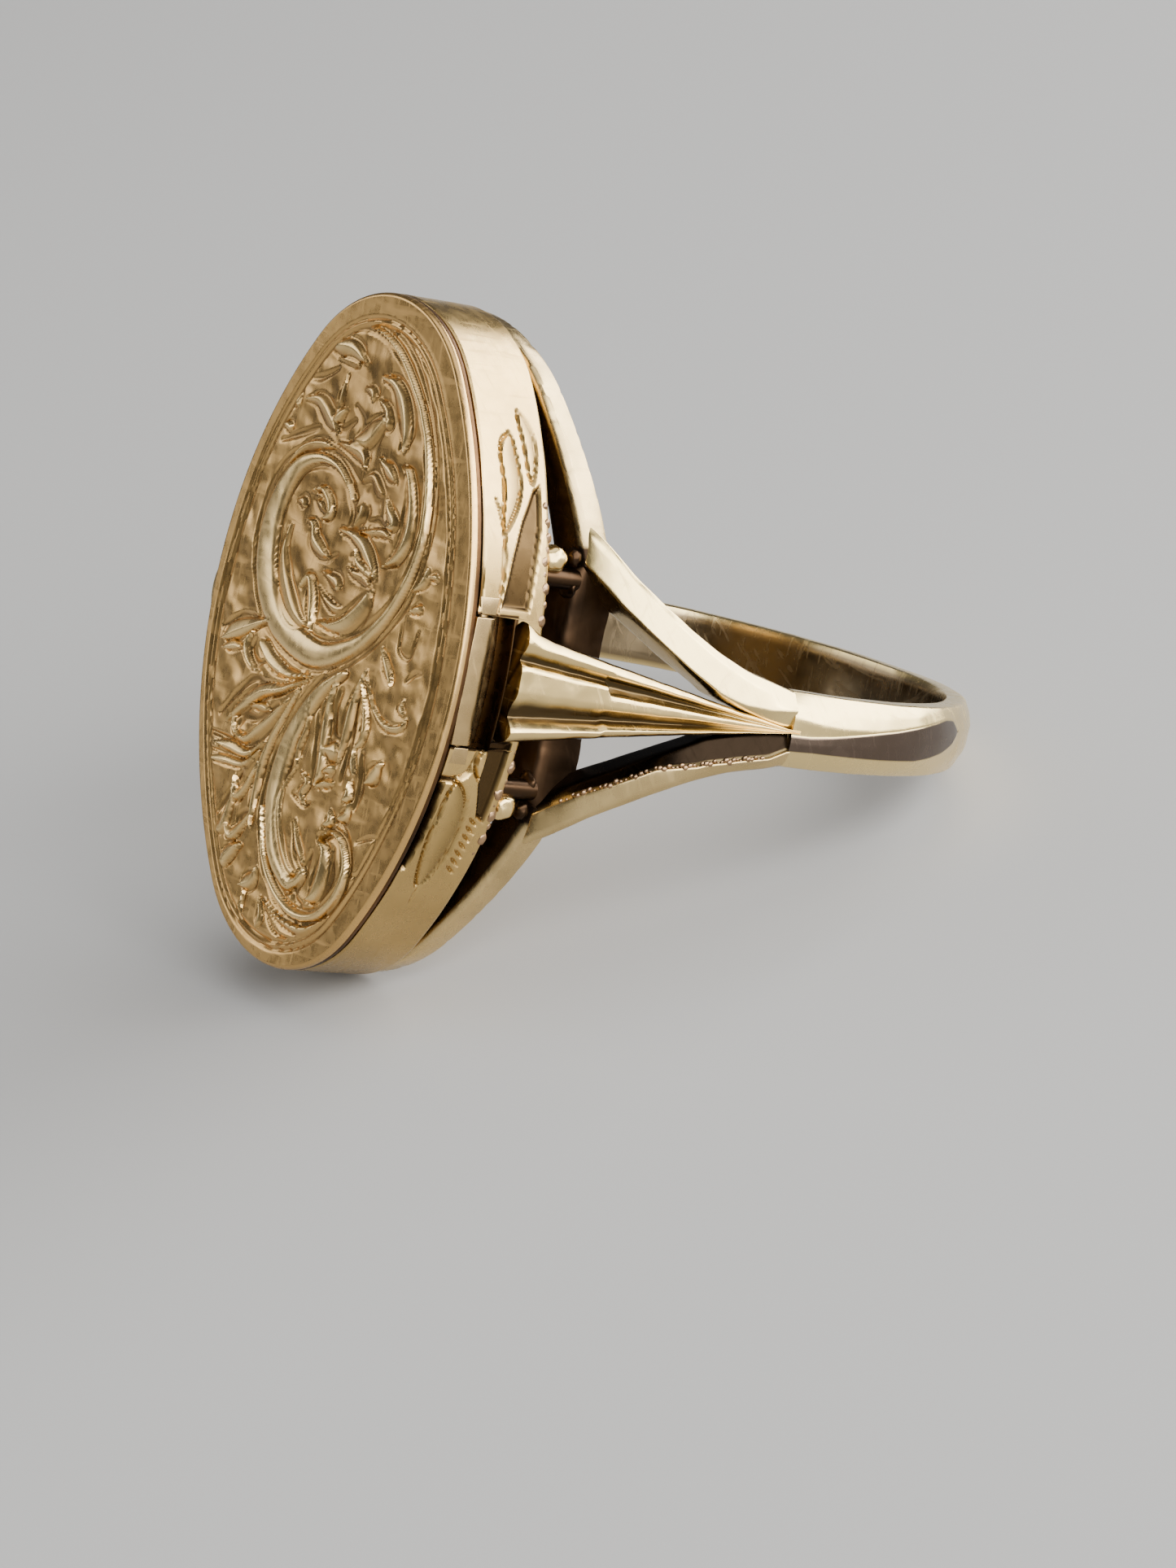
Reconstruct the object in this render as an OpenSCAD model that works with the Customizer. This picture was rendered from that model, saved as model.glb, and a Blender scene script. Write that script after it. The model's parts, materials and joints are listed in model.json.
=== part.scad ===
// Oval locket ring: a hinged, engraved locket on a three-part shoulder and a tapering shank.
// Millimetres. In the ring's own frame the finger bore runs along Z, the locket faces -Y and
// its hinge is on the +X side. The whole ring is then laid down the way it rests on a table.

/* [Finger ring] */
// Diameter of the finger bore
finger_d = 17.0; // [15:0.1:20]
// Thickness of the shank and the shoulder arms
band_t = 1.0; // [0.8:0.05:1.4]
// Width of the shank where the shoulders join it
shank_front_w = 2.25; // [2:0.05:3]
// Width of the shank at the back
shank_back_w = 1.9; // [1.4:0.1:2]
// Width of the flat along the middle of the shank
shank_flat_w = 1.3; // [0.8:0.1:1.4]
// How far the shank's edges fall away from that flat
shank_edge_drop = 0.35; // [0.1:0.05:0.5]

/* [Shoulders] */
// How far in front of the bore's centre the shoulders meet the shank
split_y = 2.45; // [1.5:0.05:3.5]
// Width of a shoulder arm where it leaves the shank
arm_w = 1.1; // [0.8:0.05:1.2]
// Radius of the sweep of an arm's edges
arm_sweep_r = 5.75; // [5:0.05:7]
// Angle at which an arm's outer edge climbs to the gallery
arm_climb = 41; // [38:1:45]
// How much steeper its inner edge climbs, which narrows the arm
arm_taper = 9; // [4:1:10]
// Width of the fan at the case
fan_wide_w = 3.3; // [3:0.1:3.8]
// Width of the fan where it meets the shank
fan_tip_w = 0.5; // [0.3:0.05:0.8]
// Thickness of the fan
fan_t = 1.0; // [0.8:0.05:1.2]
// Depth of the two flutes in the fan
flute_d = 0.35; // [0.1:0.05:0.5]
// Share of the fan's width that its three ribs take
rib_share = 0.36; // [0.3:0.02:0.5]
// How far the middle rib lies below the fan's middle, as a share of the fan's width
rib_drop = 0.15; // [0:0.01:0.18]
// Height up the case wall that the fan covers
fan_on_case = 1.0; // [0.8:0.05:1.1]

/* [Gallery] */
// How far the gallery stands off the finger
gallery_lift = 0.8; // [0.4:0.05:1]
// Thickness of the gallery band
gallery_t = 0.8; // [0.6:0.05:1.2]
// Width of the gallery band
gallery_w = 0.95; // [0.8:0.05:1.4]
// How far the gallery's outline lies inside the case's
gallery_inset = 0.1; // [0:0.05:0.4]
// Depth filed off the gallery's ends where the case is soldered on
solder_flat = 0.25; // [0.05:0.05:0.3]
// Distance of the arm joints from the middle of the ring
joint_z = 4.1; // [3.6:0.1:4.5]
// Distance of the pegs from the middle of the ring
peg_z = 3.1; // [2.8:0.1:3.2]
// Diameter of a peg
peg_d = 0.6; // [0.4:0.05:0.8]
// Diameter of the bead beside each peg
bead_d = 0.85; // [0.6:0.05:1]

/* [Case] */
// Length of the case
case_l = 20.0; // [18:0.1:22]
// Width of the case
case_w = 12.6; // [11.6:0.1:13.4]
// Radius of the case's rounded ends
case_end_r = 4.4; // [4:0.1:4.8]
// Depth of the case without its lid
case_h = 2.4; // [2.2:0.05:3]
// Thickness of the case wall
wall_t = 0.8; // [0.6:0.05:0.9]
// Thickness of the case's back plate
back_t = 0.45; // [0.3:0.05:0.6]
// Thickness of the inner lip that the lid closes over
lip_t = 0.3; // [0.2:0.05:0.4]
// How far the inner lip stands above the case wall
lip_rise = 0.15; // [0.1:0.05:0.15]

/* [Lid] */
// Thickness of the engraved plate
plate_t = 0.25; // [0.2:0.05:0.4]
// Height of the rim behind the plate
rim_h = 0.15; // [0.15:0.05:0.4]
// Gap between the closed lid and the case wall
seam = 0.05; // [0.02:0.01:0.1]
// Gap between the lid's rim and the inner lip
lip_gap = 0.05; // [0.02:0.01:0.1]
// Radius of the thumb lip's curve
thumb_r = 1.6; // [1.2:0.1:2]
// How far the thumb lip stands out from the lid
thumb_out = 0.3; // [0.2:0.05:0.5]

/* [Hinge] */
// Diameter of the knuckles
knuckle_d = 0.8; // [0.7:0.05:0.9]
// Length of the lid's knuckle
lid_knuckle_l = 3.7; // [3:0.1:4.2]
// Length of each case knuckle
case_knuckle_l = 0.5; // [0.4:0.05:0.7]
// Gap between neighbouring knuckles
knuckle_gap = 0.08; // [0.04:0.01:0.12]
// Diameter of the hinge pin
pin_d = 0.35; // [0.3:0.05:0.4]
// Radial clearance of the pin in the lid's knuckle
pin_clearance = 0.03; // [0.02:0.01:0.06]
// How far the hinge line lies inside the case's widest point
hinge_inset = 0.45; // [0.4:0.05:0.5]
// How far the hinge line lies behind the front of the case wall
hinge_drop = 0.4; // [0.35:0.05:0.5]
// Clearance round the lid's knuckle in the wall and the inner lip
knuckle_room = 0.1; // [0.06:0.01:0.12]
// Height of wall left between the notch for the knuckle and the end of the fan
notch_sill = 0.05; // [0:0.05:0.3]

/* [Picture] */
// Thickness of the picture card
card_t = 0.15; // [0.1:0.05:0.3]
// Thickness of the clear window
window_t = 0.25; // [0.2:0.05:0.4]
// Height of the bezel that holds them
bezel_h = 0.35; // [0.2:0.05:0.5]
// Width of the bezel
bezel_w = 0.5; // [0.3:0.05:0.8]

/* [Hidden] */
$fn = 96;

gold = "#c59a55";
worn_gold = "#a98550";
dark_gold = "#6f5330";

finger_r = finger_d / 2;
band_r = finger_r + band_t;
gallery_inner_r = finger_r + gallery_lift;
gallery_r = gallery_inner_r + gallery_t;

// Heights above the bore's centre line, towards the locket's face
bed = gallery_r - solder_flat;
case_front = bed + case_h;
rim_back = case_front + seam;
plate_back = rim_back + rim_h;
lid_front = plate_back + plate_t;

case_a = case_l / 2;
case_b = case_w / 2;
inner_wall = wall_t + lip_t;
rim_w = wall_t - lip_gap;

hinge_x = case_b - hinge_inset;
hinge_y = case_front - hinge_drop;
knuckle_r = knuckle_d / 2;
hinge_half = lid_knuckle_l / 2 + knuckle_gap + case_knuckle_l;

peg_x = gallery_side_x(gallery_w / 2, peg_z);
bead_z = peg_z + bead_d / 2 + 0.1;
far = 30;
bite = 0.3;
sweep_bite = 0.03;

// The arms flare from the band's radius at the shank to the gallery's at the joint
joint_x = gallery_side_x(0, joint_z);
joint_y = sqrt(pow(gallery_r, 2) - pow(joint_x, 2));
flare_shift = (pow(gallery_r, 2) - pow(band_r, 2)) / (2 * (joint_y - split_y));
flare_r = sqrt(pow(band_r, 2) - pow(split_y, 2) + pow(split_y - flare_shift, 2));

// The ring lies on the gallery's lower edge and on the back of the shank
shank_edge_fall = shank_edge_drop * max(0, shank_back_w - shank_flat_w)
    / (shank_front_w - shank_flat_w);
rest_tilt = atan((case_a - gallery_inset - shank_back_w / 2)
    / (gallery_inner_r + band_r - shank_edge_fall));

// ---------- four-arc ovals ----------

// Distance of the long arcs' centres from the middle
function arc_offset(a, b, r) = (pow(a - r, 2) - pow(b - r, 2)) / (2 * (b - r));

// Half-width of the gallery band's outline, inset by d, at height z
function gallery_side_x(d, z) =
    let (c = arc_offset(case_a, case_b, case_end_r), r = case_b + c - gallery_inset - d)
    sqrt(r * r - z * z) - c;

// The case's oval, inset evenly by d all round
module oval(d = 0) {
    c = arc_offset(case_a, case_b, case_end_r);
    long_r = case_b + c;
    end_z = case_a - case_end_r;
    tangent_z = long_r * end_z / (long_r - case_end_r);
    intersection() {
        translate([-c, 0]) circle(long_r - d);
        translate([c, 0]) circle(long_r - d);
        square([2 * case_b, 2 * (tangent_z - d * end_z / (long_r - case_end_r))], center = true);
    }
    for (side = [-1, 1])
        translate([0, side * end_z]) circle(case_end_r - d);
}

// A 2D shape in the plane of the lid, from one height to another towards the face
module facing(from, to) {
    translate([0, -from, 0]) rotate([90, 0, 0]) linear_extrude(to - from) children();
}

module oval_plate(from, to, inset = 0) {
    facing(from, to) oval(inset);
}

module oval_band(from, to, inset, width) {
    facing(from, to) difference() {
        oval(inset);
        oval(inset + width);
    }
}

// ---------- helpers for the finger ring ----------

// A side view, drawn as [forward, up], cut through the +X half of the ring
module from_the_side() {
    rotate([90, 0, 90]) linear_extrude(far) mirror([1, 0]) children();
}

module tube(outer_r, t) {
    difference() {
        cylinder(r = outer_r, h = case_l, center = true);
        cylinder(r = outer_r - t, h = case_l + 1, center = true);
    }
}

module hinge_line(r, l) {
    translate([hinge_x, -hinge_y, 0]) cylinder(r = r, h = l, center = true, $fn = 48);
}

// The ring as it lies on a table
module laid_down() {
    rotate([-rest_tilt, 0, 0]) children();
}

// ---------- finger ring ----------

module shank() {
    color(worn_gold)
    intersection() {
        rotate_extrude() polygon([
            [finger_r, -shank_front_w / 2],
            [band_r - shank_edge_drop, -shank_front_w / 2],
            [band_r, -shank_flat_w / 2],
            [band_r, shank_flat_w / 2],
            [band_r - shank_edge_drop, shank_front_w / 2],
            [finger_r, shank_front_w / 2]
        ]);
        rotate([90, 0, 90]) linear_extrude(2 * far, center = true) polygon([
            [-split_y, -shank_front_w / 2],
            [band_r, -shank_back_w / 2],
            [band_r, shank_back_w / 2],
            [-split_y, shank_front_w / 2]
        ]);
    }
}

// Everything on the inner side of a sweep that ends in a straight climb
// A sweep that ends in a straight climb, which crosses it instead of just touching it
module climbing_sweep(climb) {
    circle(arm_sweep_r);
    rotate(climb) translate([0, sweep_bite - arm_sweep_r]) square([far, arm_sweep_r]);
}

// Side view of the upper arm: a sweep off the shank, then a tapering climb to the gallery
module arm_outline() {
    translate([split_y, shank_front_w / 2 + arm_sweep_r]) intersection() {
        difference() {
            translate([0, -arm_w]) climbing_sweep(arm_climb + arm_taper);
            climbing_sweep(arm_climb);
        }
        polygon([[0, 0], [0, -far], [far, -far], [far, far * tan(arm_climb)]]);
    }
}

module fan_outline() {
    polygon([
        [split_y, -fan_tip_w / 2],
        [bed + fan_on_case, -fan_wide_w / 2],
        [bed + fan_on_case, fan_wide_w / 2],
        [split_y, fan_tip_w / 2]
    ]);
}

// One flute, a wedge that narrows with the fan
module flute_outline(side) {
    rib = rib_share / 3;
    for_width = function (w) [w * (side * rib / 2 - rib_drop), side * w * (0.5 - rib)];
    tip = for_width(fan_tip_w);
    wide = for_width(fan_wide_w);
    polygon([
        [split_y, tip[0]], [split_y, tip[1]],
        [bed + fan_on_case + bite, wide[1]], [bed + fan_on_case + bite, wide[0]]
    ]);
}

// The fan lies on the tangent that leaves the band where the shoulders split
module fan_slab(depth, t) {
    leave = acos(split_y / band_r);
    rotate([0, 0, leave - 90])
        translate([band_r - depth - t, -far, -far / 2]) cube([t, far + band_r, far]);
}

module shoulder_fan() {
    color(gold)
    difference() {
        intersection() {
            from_the_side() fan_outline();
            fan_slab(0, fan_t);
        }
        for (side = [-1, 1]) intersection() {
            from_the_side() flute_outline(side);
            fan_slab(-bite, flute_d + bite);
        }
        oval_plate(0, case_front);
        cylinder(r = finger_r, h = case_l, center = true);
    }
}

// An arm follows the finger inside and the flare outside, and ends against the gallery
module shoulder_arm() {
    color(gold)
    difference() {
        intersection() {
            translate([0, -flare_shift, 0]) cylinder(r = flare_r, h = case_l, center = true);
            from_the_side() difference() {
                arm_outline();
                fan_outline();
            }
        }
        cylinder(r = finger_r, h = 2 * case_l, center = true);
        translate([-joint_x, -far, -far / 2]) cube([2 * joint_x, far, far / 2 + joint_z]);
        intersection() {
            oval_plate(0, case_front, gallery_inset);
            translate([-far / 2, -far, joint_z]) cube(far);
        }
    }
}

// ---------- gallery ----------

module gallery_band(outline_from_z, outline_to_z) {
    color(dark_gold)
    intersection() {
        tube(gallery_r, gallery_t);
        children();
        translate([-far / 2, -bed, outline_from_z])
            cube([far, bed, outline_to_z - outline_from_z]);
    }
}

module gallery_arch() {
    gallery_band(joint_z, case_a) oval_band(0, gallery_r, gallery_inset, gallery_w);
}

module gallery_bridge() {
    outer_x = gallery_side_x(0, joint_z);
    inner_x = gallery_side_x(gallery_w, joint_z);
    gallery_band(-joint_z, joint_z)
        translate([inner_x, -far, -far / 2]) cube([outer_x - inner_x, far, far]);
}

module gallery_pegs() {
    color(dark_gold)
    for (side = [-1, 1], end = [-1, 1]) difference() {
        union() {
            translate([side * peg_x, -bed, end * peg_z])
                rotate([-90, 0, 0]) cylinder(d = peg_d, h = bed, $fn = 32);
            translate([side * peg_x, bead_d / 2 - bed, end * bead_z]) sphere(d = bead_d, $fn = 32);
        }
        cylinder(r = gallery_r, h = case_l, center = true);
    }
}

// ---------- case ----------

module case_back() {
    color(gold) oval_plate(bed, bed + back_t, wall_t);
}

module case_wall() {
    color(gold)
    difference() {
        oval_band(bed, case_front, 0, wall_t);
        // notch for the lid's knuckle
        translate([0, -case_front - 1, -notch_half()])
            cube([far, notch_depth() + 1, 2 * notch_half()]);
        hinge_line(knuckle_r, 2 * hinge_half);
    }
}

function notch_half() = lid_knuckle_l / 2 + knuckle_gap;
function notch_depth() = case_h - fan_on_case - notch_sill;

module case_inner_lip() {
    color(worn_gold) difference() {
        oval_band(bed + back_t, case_front + lip_rise, wall_t, lip_t);
        hinge_line(knuckle_r + knuckle_room, 2 * notch_half());
    }
}

// The case's knuckles are filed flush with its wall
module case_knuckle() {
    color(gold) difference() {
        intersection() {
            hinge_line(knuckle_r, 2 * hinge_half);
            oval_band(bed, case_front, 0, wall_t);
            translate([0, -far, notch_half()]) cube(far);
        }
        hinge_line(pin_d / 2, 2 * far);
    }
}

module hinge_pin() {
    color(worn_gold) hinge_line(pin_d / 2, 2 * hinge_half);
}

// ---------- picture ----------

module picture_card() {
    color("#e9e2d0") oval_plate(bed + back_t, bed + back_t + card_t, inner_wall);
}

module picture_window() {
    from = bed + back_t + card_t;
    color("lightcyan", 0.4) oval_plate(from, from + window_t, inner_wall);
}

module picture_bezel() {
    from = bed + back_t + card_t + window_t;
    color(gold) oval_band(from, from + bezel_h, inner_wall, bezel_w);
}

// ---------- lid ----------

module lid_plate() {
    color(gold) oval_plate(plate_back, lid_front);
}

module lid_rim() {
    color(gold) oval_band(rim_back, plate_back, 0, rim_w);
}

// The lid's knuckle hangs from the rim by the web on its outer side
module lid_knuckle() {
    color(gold) difference() {
        union() {
            hinge_line(knuckle_r, lid_knuckle_l);
            translate([hinge_x, -rim_back, -lid_knuckle_l / 2])
                cube([knuckle_r, rim_back - hinge_y, lid_knuckle_l]);
        }
        hinge_line(pin_d / 2 + pin_clearance, lid_knuckle_l + 1);
    }
}

module lid_thumb_lip() {
    color(gold)
    facing(rim_back, plate_back) difference() {
        translate([thumb_r - case_b - thumb_out, 0]) circle(thumb_r);
        oval();
    }
}

laid_down() shank();
laid_down() shoulder_fan();  // shoulder_fan_hinge_side
laid_down() mirror([1, 0, 0]) shoulder_fan();  // shoulder_fan_catch_side
laid_down() shoulder_arm();  // shoulder_upper_hinge_side
laid_down() mirror([1, 0, 0]) shoulder_arm();  // shoulder_upper_catch_side
laid_down() mirror([0, 0, 1]) shoulder_arm();  // shoulder_lower_hinge_side
laid_down() mirror([0, 0, 1]) mirror([1, 0, 0]) shoulder_arm();  // shoulder_lower_catch_side
laid_down() gallery_arch();  // gallery_arch_upper
laid_down() mirror([0, 0, 1]) gallery_arch();  // gallery_arch_lower
laid_down() gallery_bridge();  // gallery_bridge_hinge_side
laid_down() mirror([1, 0, 0]) gallery_bridge();  // gallery_bridge_catch_side
laid_down() gallery_pegs();
laid_down() case_back();
laid_down() case_wall();
laid_down() case_inner_lip();
laid_down() case_knuckle();  // case_knuckle_upper
laid_down() mirror([0, 0, 1]) case_knuckle();  // case_knuckle_lower
laid_down() hinge_pin();
laid_down() picture_card();
laid_down() picture_window();
laid_down() picture_bezel();
laid_down() lid_plate();
laid_down() lid_rim();
laid_down() lid_knuckle();
laid_down() lid_thumb_lip();
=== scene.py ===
import json
import math

import bmesh
import bpy
import numpy as np
from mathutils import Matrix, Vector, noise


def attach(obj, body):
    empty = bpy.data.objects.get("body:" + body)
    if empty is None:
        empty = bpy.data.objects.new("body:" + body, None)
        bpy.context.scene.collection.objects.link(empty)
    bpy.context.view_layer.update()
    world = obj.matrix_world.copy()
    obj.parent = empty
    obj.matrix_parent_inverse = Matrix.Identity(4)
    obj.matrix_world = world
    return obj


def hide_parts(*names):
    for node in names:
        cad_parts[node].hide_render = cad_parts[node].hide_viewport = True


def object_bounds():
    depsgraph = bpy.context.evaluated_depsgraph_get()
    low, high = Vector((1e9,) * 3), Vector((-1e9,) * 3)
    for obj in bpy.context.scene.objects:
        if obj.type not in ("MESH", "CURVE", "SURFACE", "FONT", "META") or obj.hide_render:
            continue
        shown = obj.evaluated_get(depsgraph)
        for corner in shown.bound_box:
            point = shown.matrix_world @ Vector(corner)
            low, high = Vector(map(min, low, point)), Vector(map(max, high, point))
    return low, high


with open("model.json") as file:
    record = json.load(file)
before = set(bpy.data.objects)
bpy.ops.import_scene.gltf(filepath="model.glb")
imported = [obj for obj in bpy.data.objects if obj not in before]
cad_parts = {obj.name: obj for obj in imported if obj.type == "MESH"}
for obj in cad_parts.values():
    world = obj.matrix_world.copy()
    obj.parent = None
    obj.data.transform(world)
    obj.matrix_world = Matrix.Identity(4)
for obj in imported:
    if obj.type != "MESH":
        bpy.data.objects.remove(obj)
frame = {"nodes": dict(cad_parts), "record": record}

CAD_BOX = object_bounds()
MM = 0.001
noise.seed_set(1)        # without a seed the clock picks the unevenness of the pieces anew each run

# The ring's own frame: the finger bore along Z, the locket facing -Y, the hinge on the +X side.
# Every piece is made in that frame in millimetres, then laid down as the frame says.
FINGER_HOLE = next(m for m in frame["record"]["mounts"] if m["name"] == "finger_hole")
REST_TILT = math.atan2(FINGER_HOLE["axis"][1], FINGER_HOLE["axis"][2])
LAY_DOWN = Matrix.Rotation(-REST_TILT, 4, "X") @ Matrix.Scale(MM, 4)


def ring_box(node):
    """Lowest and highest corner of a CAD node in the ring's own frame, in millimetres."""
    mesh = frame["nodes"][node].data
    points = np.empty(len(mesh.vertices) * 3, np.float32)
    mesh.vertices.foreach_get("co", points)
    upright = np.array(LAY_DOWN.inverted())
    points = points.reshape(-1, 3) @ upright[:3, :3].T
    return points.min(0), points.max(0)


WALL_LOW, WALL_HIGH = ring_box("case_wall")
LID_LOW, LID_HIGH = ring_box("lid_plate")
FAN_LOW, FAN_HIGH = ring_box("shoulder_fan_hinge_side")
SHANK_LOW, SHANK_HIGH = ring_box("shank")

# Radii are from the bore's centre, and so are heights, which are counted toward the locket
FINGER_R = FINGER_HOLE["dims"]["r_mm"]
BAND_R = SHANK_HIGH[0]
CASE_A = WALL_HIGH[2]        # half-length of the locket's oval
CASE_B = -WALL_LOW[0]        # and its half-width
BED = -WALL_HIGH[1]          # height of the case's foot
CASE_FRONT = -WALL_LOW[1]
LID_FRONT = -LID_LOW[1]
LID_BACK = -LID_HIGH[1]
SPLIT_Y = -SHANK_LOW[1]      # height at which the shank splits into the shoulders
JOINT_Z = ring_box("gallery_arch_upper")[0][2]   # where the arms reach the gallery, up from its middle

# ---------------------------------------------------------------- the locket's oval

END_R = 4.4          # radius of the oval's ends
WALL_T = 0.8         # thickness of the case wall
END_Z = CASE_A - END_R
ARC_X = (END_Z ** 2 - (CASE_B - END_R) ** 2) / (2 * (CASE_B - END_R))
LONG_R = CASE_B + ARC_X
TURN = math.atan2(END_Z, ARC_X)


def oval_point(normal, inset=0.0):
    """Points of the oval, inset evenly, where its outward normal has the given angles."""
    c, s = np.cos(normal), np.sin(normal)
    on_end = np.abs(s) > math.sin(TURN)
    x = np.where(on_end, 0.0, -ARC_X * np.sign(c)) + (np.where(on_end, END_R, LONG_R) - inset) * c
    z = np.where(on_end, END_Z * np.sign(s), 0.0) + (np.where(on_end, END_R, LONG_R) - inset) * s
    return x, z


def even_normals(count, start=0.0, end=2 * math.pi):
    """Normal angles that step evenly along the oval's edge from start to end."""
    fine = np.linspace(start, end, 4000)
    x, z = oval_point(fine)
    along = np.concatenate([[0], np.cumsum(np.hypot(np.diff(x), np.diff(z)))])
    return np.interp(np.linspace(0, along[-1], count), along, fine)


def edge_distance(x, z):
    """How far points lie inside the oval's edge."""
    x, z = np.abs(x), np.abs(z)
    on_end = z > END_Z * (1 + x / ARC_X)
    return np.where(on_end, END_R - np.hypot(x, z - END_Z), LONG_R - np.hypot(x + ARC_X, z))


# ---------------------------------------------------------------- making pieces


def rounded(corners, cut=0.16, steps=2):
    """A closed outline with its corners cut and cut again, so that they turn smoothly."""
    points = np.asarray(corners, float)
    for _ in range(steps):
        after = np.roll(points, -1, axis=0)
        points = np.stack([points * (1 - cut) + after * cut, points * cut + after * (1 - cut)], 1)
        points = points.reshape(-1, points.shape[-1])
    return points


def grid_mesh(columns, rows):
    """A flat grid and the column and row of each of its vertices."""
    bm = bmesh.new()
    bmesh.ops.create_grid(bm, x_segments=columns - 1, y_segments=rows - 1, size=1.0)
    bm.verts.ensure_lookup_table()
    spots = np.array([v.co[:2] for v in bm.verts])
    column = np.rint((spots[:, 0] + 1) / 2 * (columns - 1)).astype(int)
    row = np.rint((spots[:, 1] + 1) / 2 * (rows - 1)).astype(int)
    return bm, column, row


def loft(rings, path_closed=False):
    """A solid through the given closed rings, an array of [ring, point, xyz] in millimetres."""
    rings = np.concatenate([rings, rings[:, :1]], axis=1)
    if path_closed:
        rings = np.concatenate([rings, rings[:1]], axis=0)
    bm, column, row = grid_mesh(rings.shape[1], rings.shape[0])
    for vert, place in zip(bm.verts, rings[row, column]):
        vert.co = place
    bmesh.ops.remove_doubles(bm, verts=bm.verts, dist=1e-4)
    if not path_closed:
        bmesh.ops.holes_fill(bm, edges=[e for e in bm.edges if e.is_boundary], sides=0)
    bmesh.ops.recalc_face_normals(bm, faces=bm.faces)
    return bm


def wobble(bm, amount, scale, seed=0.0):
    """Small hand-made unevenness, in millimetres."""
    shift = Vector((seed, seed * 0.7, seed * 1.3))
    for vert in bm.verts:
        vert.co += noise.noise_vector(vert.co * scale + shift) * amount


def mirrored(bm, axis):
    """Turns a piece into its mirror image across the plane through the ring's middle."""
    flip = Matrix.Scale(-1, 4, [float(axis == name) for name in "XYZ"])
    bmesh.ops.transform(bm, matrix=flip, verts=bm.verts)
    bmesh.ops.recalc_face_normals(bm, faces=bm.faces)


def piece(bm, name, material, body, nodes=(), smooth_angle=40):
    """Lays the piece down, makes it an object, hangs it on its body and hides the CAD nodes it stands in
    for.
    """
    bmesh.ops.transform(bm, matrix=LAY_DOWN, verts=bm.verts)
    mesh = bpy.data.meshes.new(name)
    bm.to_mesh(mesh)
    bm.free()
    mesh.materials.append(material)
    mesh.shade_smooth()
    mesh.set_sharp_from_angle(angle=math.radians(smooth_angle))
    obj = bpy.data.objects.new(name, mesh)
    bpy.context.scene.collection.objects.link(obj)
    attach(obj, body)
    if nodes:
        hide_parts(*nodes)
    return obj


def upright_places(obj):
    """A piece's vertices in the ring's own frame, as an array."""
    places = np.empty(len(obj.data.vertices) * 3, np.float32)
    obj.data.vertices.foreach_get("co", places)
    upright = np.array(LAY_DOWN.inverted())[:3, :3]
    return places.reshape(-1, 3) @ upright.T


def paint(obj, name, values):
    """Stores one value a vertex on a piece, for its material to read."""
    layer = obj.data.attributes.new(name, "FLOAT", "POINT")
    layer.data.foreach_set("value", np.asarray(values, np.float32))


# ---------------------------------------------------------------- finishes


def add(tree, kind, links=None, **settings):
    """Adds a node, sets its plain values and joins the given sources to its inputs."""
    node = tree.nodes.new(kind)
    for label, value in settings.items():
        if hasattr(node, label):
            setattr(node, label, value)
        else:
            node.inputs[label.replace("_", " ")].default_value = value
    for label, source in (links or {}).items():
        tree.links.new(source, node.inputs[label])
    return node


def feed(tree, sockets, values):
    """Gives each socket its plain value, or joins it to its source."""
    for socket, value in zip(sockets, values):
        if isinstance(value, (float, tuple)):
            socket.default_value = value
        else:
            tree.links.new(value, socket)


def mix_colour(tree, factor, first, second):
    node = tree.nodes.new("ShaderNodeMix")
    node.data_type = "RGBA"
    feed(tree, [node.inputs[index] for index in (0, 6, 7)], (factor, first, second))
    return node.outputs[2]


def combine(tree, operation, *values):
    node = tree.nodes.new("ShaderNodeMath")
    node.operation = operation
    feed(tree, node.inputs, values)
    return node.outputs[0]


def spread(tree, source, low, high):
    """Spreads a source's values between low and high over 0 to 1, clamped."""
    return add(tree, "ShaderNodeMapRange", {"Value": source}, From_Min=low, From_Max=high).outputs["Result"]


def cloudy(tree, place, scale, detail):
    """Cloudy noise with so many waves a metre."""
    return add(tree, "ShaderNodeTexNoise", {"Vector": place}, Scale=scale, Detail=detail).outputs["Fac"]


def bump(tree, height, strength):
    """A normal for the shader, bumped by a height of up to 0.02 mm."""
    node = add(tree, "ShaderNodeBump", {"Height": height}, Strength=strength, Distance=0.02 * MM)
    return node.outputs["Normal"]


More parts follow.
